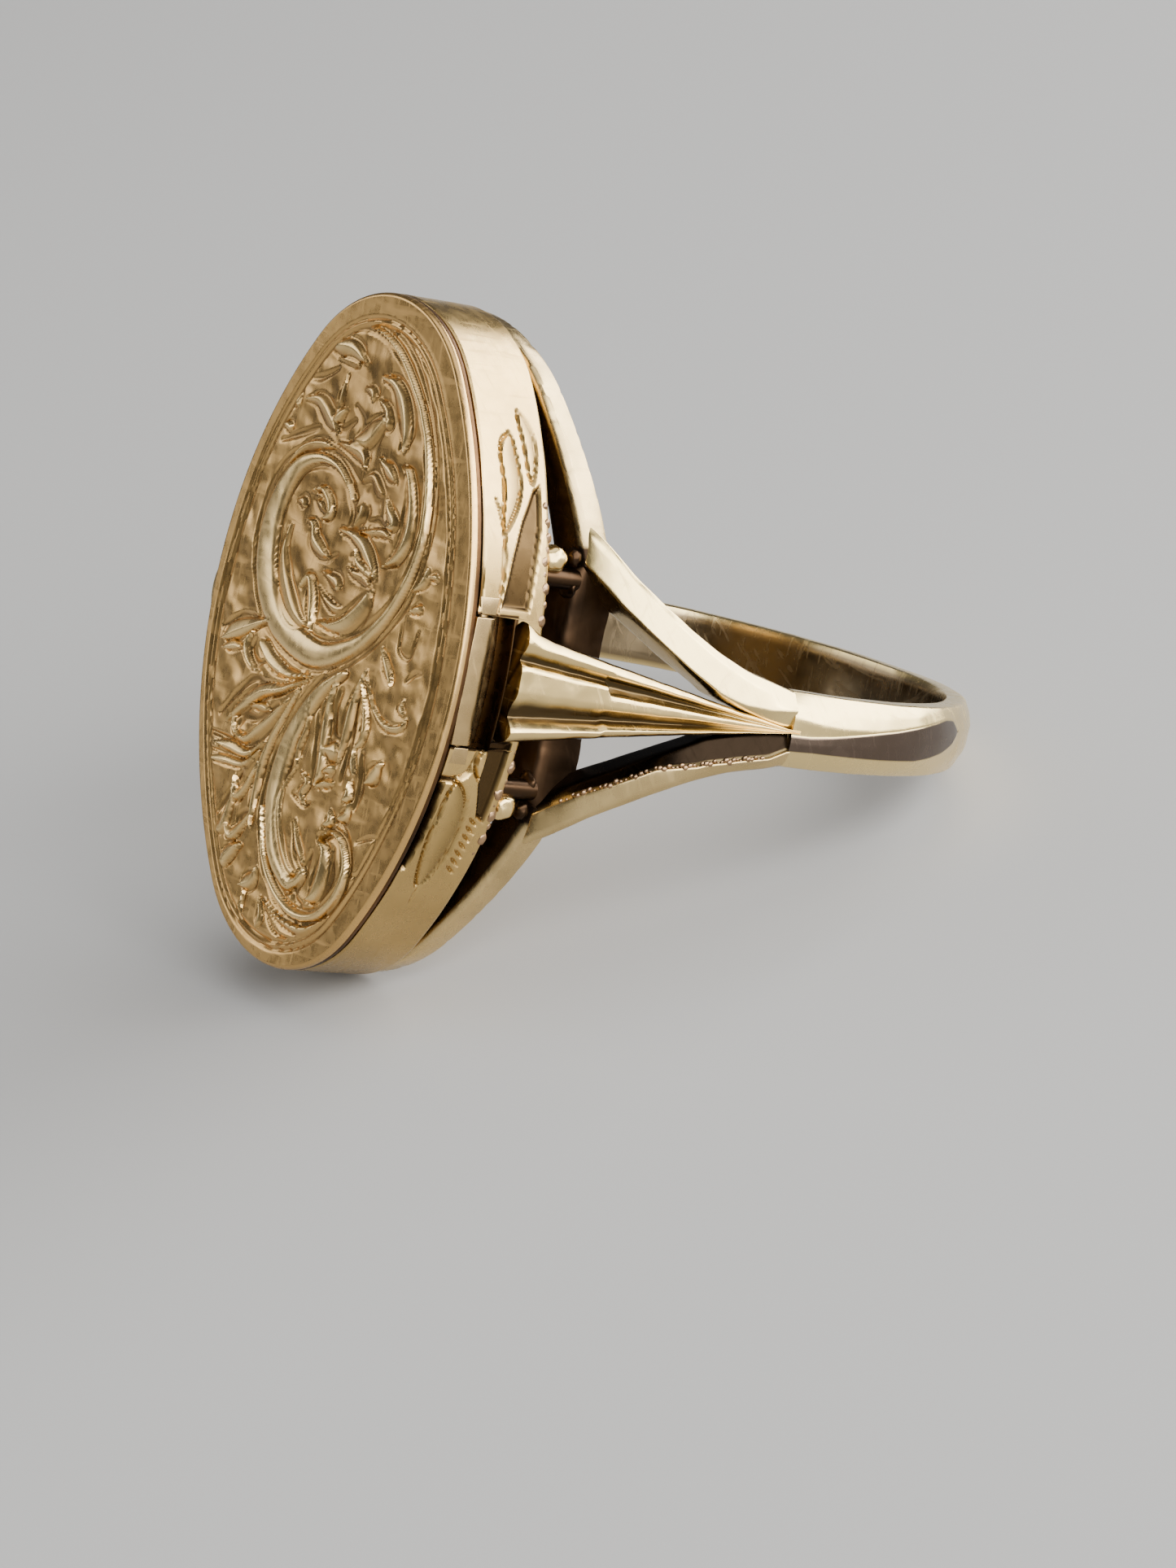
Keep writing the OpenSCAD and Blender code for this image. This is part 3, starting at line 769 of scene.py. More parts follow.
def pitted(bm, depth, seed):
    """Sinks small pits into a piece where it has been hard to polish."""
    bm.normal_update()
    for vert in bm.verts:
        rough = noise.noise(vert.co * 2.6 + Vector((seed, 0, 0))) + 0.5 * noise.noise(vert.co * 6.1)
        vert.co -= vert.normal * depth * max(0, rough - 0.15)


def gallery_bridge(hinge_side):
    """The bar of the gallery that runs under a shoulder."""
    rings = []
    for z in np.linspace(0.1 - JOINT_Z, JOINT_Z - 0.1, 60):
        ending = np.interp(abs(z), [JOINT_Z - 1.0, JOINT_Z - 0.3], [0, 1])    # it thins into the arms
        top, low = GALLERY_R - 0.18 * ending, BRIDGE_INNER + 0.25 * ending
        spots = [(JOINT_X, arch_height(JOINT_X, top)), (BRIDGE_X, arch_height(BRIDGE_X, top)),
                 (BRIDGE_X, arch_height(BRIDGE_X, low)), (JOINT_X, arch_height(JOINT_X, low))]
        rings.append([(x, -u, z) for x, u in rounded(spots, 0.12)])
    bm = loft(np.array(rings))
    wobble(bm, 0.03, 1.2, 4.0)
    pitted(bm, 0.04, 0.4)
    node = put_on_side(bm, "gallery_bridge_", hinge_side)
    piece(bm, node + "_worn", DARK_GOLD, "ring", (node,))


def ball(bm, centre, radius, stretch=(1, 1, 1), subdivisions=4):
    """Adds a slightly uneven ball to a piece."""
    made = bmesh.ops.create_icosphere(bm, subdivisions=subdivisions, radius=radius)["verts"]
    for vert in made:
        out = vert.co.normalized()
        vert.co = Vector([a * b for a, b in zip(vert.co, stretch)])
        vert.co += out * noise.noise(out * 1.8 + Vector(centre)) * radius * 0.12
        vert.co += Vector(centre)


PEG_X, PEG_Z, PEG_R = 5.35, 3.1, 0.3
BEAD_Z, BEAD_R = 3.625, 0.42
CORNERS = [(side, end) for side in (-1, 1) for end in (-1, 1)]


def gallery_pegs():
    """Pegs with their beads, and the solder that has run round them."""
    beads, pegs = bmesh.new(), bmesh.new()
    foot = arch_height(PEG_X, GALLERY_R)
    upright = Matrix.Rotation(math.pi / 2, 4, "X")
    for side, end in CORNERS:
        made = bmesh.ops.create_cone(pegs, cap_ends=True, segments=32, radius1=PEG_R, radius2=PEG_R * 0.92,
                                     depth=BED - foot + 0.3)["verts"]
        middle = Matrix.Translation((side * PEG_X, -(BED + foot) / 2, end * PEG_Z))
        bmesh.ops.transform(pegs, matrix=middle @ upright, verts=made)
        ball(beads, (side * PEG_X, BEAD_R - BED + 0.02, end * BEAD_Z), BEAD_R)
        ball(pegs, (side * (PEG_X - 0.1), -foot - 0.02, end * (PEG_Z - 0.15)), 0.34, (1.1, 0.6, 1.2))
        ball(pegs, (side * (PEG_X - 0.08), -foot - 0.05, end * (BEAD_Z + 0.1)), 0.28, (1.0, 0.8, 1.1))
    piece(beads, "gallery_beads_worn", BRIGHT_GOLD, "ring", ("gallery_pegs",), 60)
    piece(pegs, "gallery_pegs_dark", DARK_GOLD, "ring", ("gallery_pegs",), 60)


def solder_lumps():
    """Rough solder along the foot of the case wall, beside the pegs."""
    bm = bmesh.new()
    for side, end in CORNERS:
        for k in range(9):
            z = 1.9 + 0.4 * k + 0.1 * math.sin(7 * k)
            ball(bm, (side * (oval_x(z) - 0.06), -BED - 0.1 - 0.06 * math.sin(5 * k), end * z),
                 0.1 + 0.03 * math.sin(3 * k + end), (0.8, 1.2, 1.7))
    piece(bm, "wall_solder", SOLDER, "ring", (), 60)


# ---------------------------------------------------------------- case

NOTCH_HALF = 1.93    # half-length of the notch for the lid's knuckle
NOTCH_FLOOR = 10.90  # height of its floor
WALL_POINTS = 56     # steps up the wall's outer face


def wall_cuts(along, height):
    """Petals and leaves cut into the wall beside the hinge, as heights over its face, with the shade
    painted in them.
    """
    relief = Relief(along, height)
    # above the notch: two flame leaves, the long facet that runs down to the bed, and the panel beside it
    relief.petal([(6.9, 11.1), (6.4, 11.22), (5.4, 11.15), (4.3, 11.45)], 0.27, 0.05, 0.12, 0.9)
    relief.petal([(7.5, 10.66), (6.8, 10.42), (5.7, 10.42)], 0.17, 0.03, 0.1, 0.9)
    relief.facet([(5.7, 10.1), (5.5, 10.42), (4.6, 10.85), (3.6, 11.15), (2.9, 11.3), (2.1, 11.45),
                  (2.1, 10.4), (3.0, 10.3), (4.5, 10.1)], 0.14)
    relief.cut([(5.1, 11.75), (4.4, 11.5), (3.4, 11.42), (2.0, 11.55)], 0.1, 0.12, blunt=0.4)
    relief.facet([(5.6, 12.4), (5.4, 12.2), (2.1, 12.08), (2.1, 12.4)], 0.16)
    # below it: a small petal, the panel's rounded end, the long leaf, and the leaf and ticks under them
    relief.petal([(-1.9, 10.8), (-2.3, 10.92), (-2.8, 10.85)], 0.2, 0.06, 0.14)
    relief.cut([(-1.9, 11.2), (-2.5, 11.28), (-2.8, 11.5), (-2.92, 12.1)], 0.13, 0.16, blunt=0.5)
    relief.facet([(-2.75, 12.4), (-2.8, 11.6), (-3.02, 11.5), (-3.02, 12.4)], 0.18)
    relief.petal([(-3.0, 11.6), (-3.8, 11.4), (-5.0, 11.35), (-6.3, 11.3)], 0.42, 0.06, 0.12, 0.6)
    relief.cut([(-3.2, 11.85), (-3.9, 11.75), (-4.5, 11.8)], 0.1, 0.1)
    relief.facet([(-2.95, 12.4), (-3.0, 12.0), (-4.4, 11.92), (-5.8, 12.02), (-6.0, 12.4)], 0.25)
    relief.facet([(-1.6, 10.9), (-3.0, 10.85), (-4.0, 10.5), (-4.2, 10.1), (-1.6, 10.1)], 0.16)
    for k in range(7):
        relief.cut([(-4.0 - 0.26 * k, 10.72), (-4.28 - 0.26 * k, 10.28)], 0.08, 0.1)
    relief.cut([(-3.3, 10.98), (-4.8, 10.82), (-6.2, 11.0)], 0.1, 0.1)
    relief.cut([(-5.8, 11.0), (-6.5, 11.25), (-7.1, 11.2)], 0.08, 0.06)
    return relief


def case_wall():
    """The wall, its cut leaves and the notch for the hinge."""
    stations = even_normals(1201)[:-1]
    x, z = oval_point(stations)
    in_notch = (x > 0) & (np.abs(z) < NOTCH_HALF)
    ups = np.linspace(0, 1, WALL_POINTS)
    rows = []
    for low in in_notch:
        top = NOTCH_FLOOR if low else CASE_FRONT
        spots = [(0.10, BED), (0.03, BED + 0.03)]
        spots += [(0.0, BED + 0.1 + (top - BED - 0.2) * t) for t in ups]
        spots += [(0.03, top - 0.03), (0.10, top), (WALL_T - 0.06, top), (WALL_T, top - 0.06),
                  (WALL_T, BED + 0.03), (WALL_T - 0.05, BED)]
        rows.append(spots)
    rows = np.array(rows)                     # station, point, (inset, height)
    inset, height = rows[..., 0], rows[..., 1]
    normals = np.repeat(stations[:, None], rows.shape[1], 1)
    wx, wz = oval_point(normals, inset)
    face = slice(2, 2 + WALL_POINTS)
    cuts = wall_cuts(wz[:, face].ravel(), height[:, face].ravel()).height.reshape(len(stations), -1)
    cuts = np.where(np.abs(wz[:, face]) < NOTCH_HALF + 0.02, np.minimum(cuts, 0), cuts)
    wx[:, face] += cuts * np.cos(normals[:, face])
    wz[:, face] += cuts * np.sin(normals[:, face])
    bm = loft(np.stack([wx, -height, wz], -1), path_closed=True)
    wobble(bm, 0.012, 0.9)
    obj = piece(bm, "case_wall_cut", WALL_GOLD, "ring", ("case_wall",), 30)

    x, y, z = upright_places(obj).T
    inside = edge_distance(x, z)
    relief = wall_cuts(z, -y)
    # Painted shade: the cuts darken with their depth, and the petals and facets are painted dark
    depth = np.maximum(np.clip(-relief.height / 0.2, 0, 1), 0.95 * relief.painted_shading) * (inside < 0.4)
    # painted shade: the wall is darker towards its lower end
    lower_wall_shade = 0.28 * np.clip((-2 - z) / 5, 0, 1)
    # painted shade: the notch's inside and floor are painted dark
    by_notch = (x > 0) & (np.abs(z) < NOTCH_HALF + 0.06)
    notch = by_notch & ((inside > 0.04) | (-y > NOTCH_FLOOR - 0.12))
    paint(obj, "painted_shade", np.maximum(np.maximum(depth, notch), lower_wall_shade))


# ---------------------------------------------------------------- flat ovals


def oval_turns(inset):
    """Normals round the inset oval, then the bearing and distance from its middle that each is at."""
    normals = np.linspace(0, 2 * math.pi, 3601)
    x, z = oval_point(normals, inset)
    return normals, np.unwrap(np.arctan2(z, x)), np.hypot(x, z)


def oval_grid(columns, rows, inset):
    """A grid that fills the inset oval: its mesh, places and distance from the middle (1 at the edge)."""
    bm, column, row = grid_mesh(columns, rows)
    u, v = 2 * column / (columns - 1) - 1, 2 * row / (rows - 1) - 1
    disc_x, disc_z = u * np.sqrt(1 - v * v / 2), v * np.sqrt(1 - u * u / 2)
    out = np.hypot(disc_x, disc_z)
    x, z = disc_x * (CASE_B - inset), disc_z * (CASE_A - inset)
    way = np.arctan2(z, x) % (2 * math.pi)
    _, bearings, reaches = oval_turns(inset)
    reach = np.interp(way, bearings, reaches)
    ellipse = 1 / np.hypot(np.cos(way) / (CASE_B - inset), np.sin(way) / (CASE_A - inset))
    grow = 1 + (reach / ellipse - 1) * np.clip(out, 0, 1) ** 2
    return bm, x * grow, z * grow, out


def extruded(bm, edges):
    """Extrudes an open edge of a piece, and gives its new edges and vertices."""
    made = bmesh.ops.extrude_edge_only(bm, edges=edges)["geom"]
    return tuple([part for part in made if isinstance(part, kind)]
                 for kind in (bmesh.types.BMEdge, bmesh.types.BMVert))


def close_flat(bm, edges, back):
    """Carries an open edge to the given height and closes it with a flat face."""
    edges, verts = extruded(bm, edges)
    for vert in verts:
        vert.co.y = -back
    bmesh.ops.holes_fill(bm, edges=edges, sides=0)
    bmesh.ops.recalc_face_normals(bm, faces=bm.faces)


def oval_sheet(inset, height_of, back):
    """A solid disc inside the oval, whose front's height is a function of its place."""
    bm, x, z, out = oval_grid(61, 91, inset)
    for vert, px, pz, r in zip(bm.verts, x, z, out):
        vert.co = (px, -height_of(px, pz, r), pz)
    close_flat(bm, [e for e in bm.edges if e.is_boundary], back)
    return bm


# ---------------------------------------------------------------- picture

CARD_INSET = 1.1
CARD_BACK = BED + 0.45
WINDOW_BACK = CARD_BACK + 0.165
BEZEL_BACK = CARD_BACK + 0.4


def picture():
    """The card, a little buckled, and its domed window."""
    def card_front(x, z, r):
        return CARD_BACK + 0.12 + 0.02 * math.cos(x * 0.35) * (1 - r)

    def window_front(x, z, r):
        return WINDOW_BACK + 0.05 + 0.18 * math.sqrt(max(0, 1 - r * r))

    card = oval_sheet(CARD_INSET + 0.03, card_front, CARD_BACK + 0.01)
    piece(card, "picture_card_paper", CARD, "ring", ("picture_card",), 50)
    glass = oval_sheet(CARD_INSET + 0.02, window_front, WINDOW_BACK)
    piece(glass, "picture_window_clear", CLEAR, "ring", ("picture_window",), 40)


def picture_bezel():
    """The band round the oval that holds the card and its window."""
    spots = rounded([(CARD_INSET, BEZEL_BACK), (CARD_INSET, BEZEL_BACK + 0.33),
                     (CARD_INSET + 0.25, BEZEL_BACK + 0.35), (CARD_INSET + 0.5, BEZEL_BACK + 0.1),
                     (CARD_INSET + 0.5, BEZEL_BACK)], 0.14)
    rings = []
    for normal in even_normals(241)[:-1]:
        x, z = oval_point(np.full(len(spots), normal), spots[:, 0])
        rings.append(np.stack([x, -spots[:, 1], z], -1))
    bm = loft(np.array(rings), path_closed=True)
    piece(bm, "picture_bezel_bright", BRIGHT_GOLD, "ring", ("picture_bezel",))


# ---------------------------------------------------------------- lid

LID_ROLL = 0.14      # how far the lid's edge rolls over
LID_GROUND = 0.08    # how far the ground lies below the lid's front
BORDER_LINES = (0.66, 0.88)  # insets of the two border lines, which were cut a little off centre
BORDER_SHIFT = (-0.22, -0.12)

# Scroll stems: the places they run through, then half-widths along them
STEMS = (
    # round the top and the right side, down under the volute and up its left side to its tip
    ([(-4.0, 6.9), (-3.5, 7.7), (-2.5, 8.5), (-1.4, 8.85), (-0.4, 8.8), (0.6, 8.4), (1.6, 7.6),
      (2.4, 6.7), (3.0, 5.6), (3.35, 4.4), (3.4, 3.2), (3.0, 1.9), (2.2, 0.7), (1.1, -0.2), (-0.3, -0.75),
      (-1.6, -0.65), (-2.9, -0.1), (-3.75, 1.0), (-4.0, 2.3), (-3.75, 3.5), (-3.1, 4.4), (-2.2, 4.75),
      (-1.3, 4.7), (-0.6, 4.3), (-0.2, 3.9)],
     [0.02, 0.03, 0.04, 0.05, 0.06, 0.07, 0.09, 0.1, 0.1, 0.1, 0.11, 0.14, 0.2, 0.32, 0.44, 0.48, 0.48,
      0.46, 0.38, 0.26, 0.17, 0.11, 0.07, 0.04]),
    # the lower stem, from the junction down to the curl
    ([(1.0, -1.0), (0.1, -1.7), (-0.6, -2.7), (-1.05, -3.8), (-1.2, -5.0), (-1.0, -6.0), (-0.5, -6.9),
      (0.3, -7.4), (0.8, -7.25), (1.0, -6.95)],
     [0.08, 0.2, 0.3, 0.35, 0.36, 0.34, 0.3, 0.24, 0.12, 0.05]),
    # the curl's outer line
    ([(-1.55, -5.6), (-1.1, -6.9), (-0.3, -7.75), (0.8, -8.2), (1.9, -8.05), (2.7, -7.3), (2.95, -6.4),
      (2.6, -5.7), (2.0, -5.5), (1.5, -5.8)],
     [0.04, 0.09, 0.12, 0.13, 0.13, 0.12, 0.1, 0.08, 0.06, 0.04]),
)

# Leaves that stand up: the places they run through, half-width, height, and some crests' own lean
LEAVES = (
    # at the top
    ([(-2.9, 8.0), (-2.3, 8.05), (-1.6, 8.05), (-0.85, 7.8)], 0.26, 0.1),
    ([(-2.3, 7.72), (-1.7, 7.72), (-1.1, 7.68)], 0.12, 0.06, 0.2),
    ([(0.1, 7.55), (0.7, 7.45), (1.2, 7.0), (1.6, 6.3), (1.75, 5.65)], 0.3, 0.12),
    ([(-0.7, 7.1), (-0.35, 7.05), (-0.2, 6.8)], 0.18, 0.09, 0.2),
    ([(0.1, 6.9), (0.5, 6.7), (0.7, 6.35), (0.4, 6.5)], 0.2, 0.1, 0.2),
    ([(0.7, 6.6), (0.3, 6.2), (-0.2, 5.7), (-0.9, 5.45)], 0.3, 0.09),
    ([(-3.4, 6.3), (-2.8, 6.35), (-2.2, 6.0), (-1.6, 5.6)], 0.24, 0.09),
    ([(-1.4, 6.35), (-1.7, 6.15), (-1.9, 5.9)], 0.22, 0.1, 0.2),
    ([(-1.65, 7.4), (-1.75, 6.8), (-1.8, 6.2)], 0.1, 0.07, 0.2),
    ([(-4.3, 6.6), (-4.05, 6.3), (-3.75, 6.0)], 0.26, 0.09),
    ([(-4.35, 5.4), (-4.1, 5.35), (-3.9, 5.3)], 0.15, 0.09, 0.2),
    ([(-3.7, 4.3), (-3.1, 4.9), (-2.3, 5.15), (-1.5, 5.15)], 0.14, 0.08),
    ([(-1.5, 5.35), (-0.8, 5.3), (-0.2, 5.2), (0.1, 4.8)], 0.2, 0.08),
    # in the volute
    ([(-2.25, 3.75), (-1.8, 3.9), (-1.35, 3.6), (-1.25, 3.25), (-1.6, 3.05)], 0.16, 0.12),
    ([(-2.0, 3.55), (-1.75, 3.45), (-1.5, 3.3)], 0.1, 0.08, 0.2),
    ([(-2.9, 3.35), (-2.65, 3.35), (-2.5, 3.2)], 0.17, 0.09, 0.2),
    ([(-2.2, 2.9), (-1.9, 2.8), (-1.75, 2.4), (-1.3, 2.15), (-0.85, 2.05)], 0.22, 0.11),
    ([(-0.5, 2.95), (0.1, 2.9), (0.7, 2.7), (1.2, 2.3), (1.65, 1.9)], 0.24, 0.12),
    ([(0.4, 2.55), (0.6, 2.2), (1.1, 2.0), (1.6, 1.95)], 0.16, 0.1, 0.2),
    ([(-0.95, 1.6), (-0.55, 1.5), (-0.2, 1.4), (-0.1, 1.2)], 0.2, 0.1, 0.2),
    ([(-1.9, 0.95), (-1.6, 1.3), (-1.35, 0.9), (-1.15, 0.3), (-0.95, -0.2)], 0.2, 0.12),
    ([(-1.1, 1.15), (-0.6, 0.85), (-0.1, 0.7), (0.3, 0.75)], 0.13, 0.07, 0.2),
    ([(-0.7, 0.15), (0.1, 0.2), (0.8, 0.55), (1.3, 1.1), (1.55, 1.6)], 0.28, 0.12),
    ([(0.1, 2.0), (0.5, 1.85), (1.0, 1.8), (1.5, 1.6)], 0.14, 0.07),
    ([(-3.0, 2.6), (-3.1, 1.7), (-2.7, 0.8), (-2.0, 0.1), (-1.2, -0.1)], 0.3, 0.07, 0.4),
    # the crescent and its serrated leaf
    ([(1.9, 5.25), (2.2, 5.1), (2.55, 4.3), (2.65, 3.5), (2.4, 2.8), (1.75, 2.25)], 0.26, 0.13, 0.35),
    ([(0.65, 5.3), (1.0, 5.1), (1.3, 4.95), (1.7, 4.75)], 0.2, 0.1),
    ([(0.0, 4.5), (0.5, 4.7), (0.9, 4.4), (1.2, 4.3)], 0.18, 0.07, 0.2),
    ([(1.4, 4.2), (1.6, 3.9), (1.9, 3.6), (1.6, 3.45)], 0.2, 0.09),
    ([(0.15, 3.2), (0.35, 3.6), (0.3, 3.9)], 0.2, 0.09),
    ([(0.3, 3.05), (0.9, 3.15), (1.5, 3.25), (2.0, 3.15)], 0.12, 0.08),
    # small leaves on the right
    ([(3.5, 1.95), (3.9, 2.3), (4.1, 2.8)], 0.14, 0.09, 0.2),
    ([(4.0, 2.45), (4.35, 2.55), (4.6, 2.55)], 0.1, 0.07, 0.2),
    ([(3.5, 1.35), (3.85, 1.5), (4.1, 1.55)], 0.13, 0.09, 0.2),
    # leaves that spring from the junction to the left
    ([(-0.6, -1.45), (-1.6, -1.6), (-2.5, -1.45), (-3.1, -1.1), (-3.3, -0.95)], 0.2, 0.11),
    ([(-3.1, -0.3), (-4.0, -0.65), (-4.8, -1.0), (-5.3, -1.35)], 0.26, 0.11),
    ([(-3.0, -1.95), (-3.7, -1.7), (-4.0, -1.25), (-3.8, -0.8)], 0.14, 0.09),
    ([(-4.0, -1.35), (-4.6, -1.4), (-5.2, -1.6)], 0.14, 0.08),
    ([(-0.7, -1.6), (-1.8, -2.1), (-2.8, -2.4), (-3.6, -3.0), (-4.3, -3.7)], 0.2, 0.12),
    ([(-3.9, -3.2), (-3.8, -3.75), (-3.2, -3.95), (-2.6, -3.55), (-1.9, -2.9), (-1.3, -2.2)], 0.14, 0.1),
    ([(-3.2, -2.95), (-2.7, -2.85), (-2.2, -2.85)], 0.12, 0.08),
    ([(-2.2, -3.8), (-2.9, -4.3), (-3.8, -4.3), (-4.7, -4.35)], 0.15, 0.09),
    ([(-2.3, -4.1), (-3.0, -4.65), (-4.0, -4.75), (-5.0, -4.9)], 0.12, 0.08),
    ([(-0.9, -1.9), (-1.6, -3.1), (-2.1, -4.3), (-2.15, -5.5), (-2.0, -6.4)], 0.16, 0.1),
    ([(-2.2, -4.4), (-2.7, -5.3), (-3.1, -5.6), (-3.3, -5.0)], 0.16, 0.1),
    ([(-3.1, -5.2), (-3.3, -6.0), (-3.5, -6.7), (-4.1, -6.85)], 0.18, 0.09),
    ([(-2.0, -5.8), (-2.5, -6.4), (-2.95, -6.8), (-3.3, -6.5)], 0.16, 0.09),
    ([(-2.35, -6.95), (-2.65, -7.15), (-3.0, -7.5), (-3.1, -8.0)], 0.22, 0.13),
    # leaf tips at the bottom
    ([(-1.3, -7.4), (-1.5, -7.8), (-2.0, -8.1)], 0.24, 0.1),
    ([(-1.7, -8.2), (-1.75, -8.8), (-1.7, -9.1)], 0.12, 0.08, 0.2),
    ([(-0.9, -8.2), (-0.7, -8.7), (-0.8, -9.1)], 0.14, 0.07, 0.2),
    ([(-0.7, -8.2), (0.3, -8.55), (1.4, -8.6), (2.3, -8.2), (3.1, -7.4)], 0.13, 0.08),
    ([(0.4, -9.35), (1.5, -9.1), (2.8, -8.4), (3.8, -7.4), (4.5, -6.2)], 0.1, 0.08),
    # flames on the right of the lower stem
    ([(0.9, -1.0), (0.65, -1.9), (0.65, -2.9), (0.8, -3.9), (0.75, -4.4)], 0.2, 0.11),
    ([(0.75, -3.3), (1.2, -3.3), (1.55, -3.25)], 0.3, 0.1, 0.2),
    ([(2.05, -0.7), (1.75, -1.6), (1.65, -2.6), (1.6, -3.6)], 0.17, 0.1),
    ([(2.0, -1.0), (2.35, -1.8), (2.5, -2.5), (2.3, -3.0)], 0.15, 0.09),
    ([(1.0, -3.95), (1.3, -3.8), (1.55, -3.7)], 0.16, 0.09),
    ([(0.7, -4.5), (1.2, -4.25), (1.7, -4.15)], 0.12, 0.09),
    ([(2.6, 0.1), (3.0, -0.4), (3.4, -0.9)], 0.14, 0.09),
    ([(2.3, -2.9), (2.3, -3.4), (2.5, -3.7)], 0.16, 0.09),
    ([(3.65, -3.05), (3.4, -3.4), (3.15, -3.8)], 0.22, 0.14),
    ([(2.4, -3.9), (2.35, -4.3), (2.2, -4.5)], 0.2, 0.13),
    ([(2.6, -4.5), (2.45, -4.9), (2.1, -5.05)], 0.16, 0.11),
    ([(1.7, -4.9), (1.75, -5.2), (1.5, -5.4)], 0.16, 0.1),
    ([(2.1, -0.8), (2.7, -1.6), (3.4, -2.0), (4.2, -1.9), (4.4, -1.5)], 0.1, 0.07),
    ([(4.1, -1.1), (4.0, -1.35), (4.25, -1.5)], 0.13, 0.07),
    ([(-0.2, -2.1), (-0.25, -2.9), (-0.45, -3.6), (-0.3, -4.1)], 0.12, 0.07),
    ([(-0.1, -4.2), (0.3, -4.4), (0.1, -4.8), (0.4, -5.1)], 0.14, 0.08),
    ([(-0.2, -3.8), (-0.8, -5.0), (-0.5, -6.2), (0.2, -7.0), (0.8, -7.1)], 0.12, 0.06),
    # inside the curl
    ([(0.1, -5.6), (0.4, -6.2), (0.9, -6.7)], 0.13, 0.07),
    ([(1.5, -5.9), (1.8, -6.1), (1.85, -6.7), (1.7, -7.4), (1.4, -7.7)], 0.26, 0.13, 0.2),
    ([(0.2, -7.3), (0.6, -7.4), (0.9, -7.1), (1.0, -6.8)], 0.15, 0.1, 0.2),
)

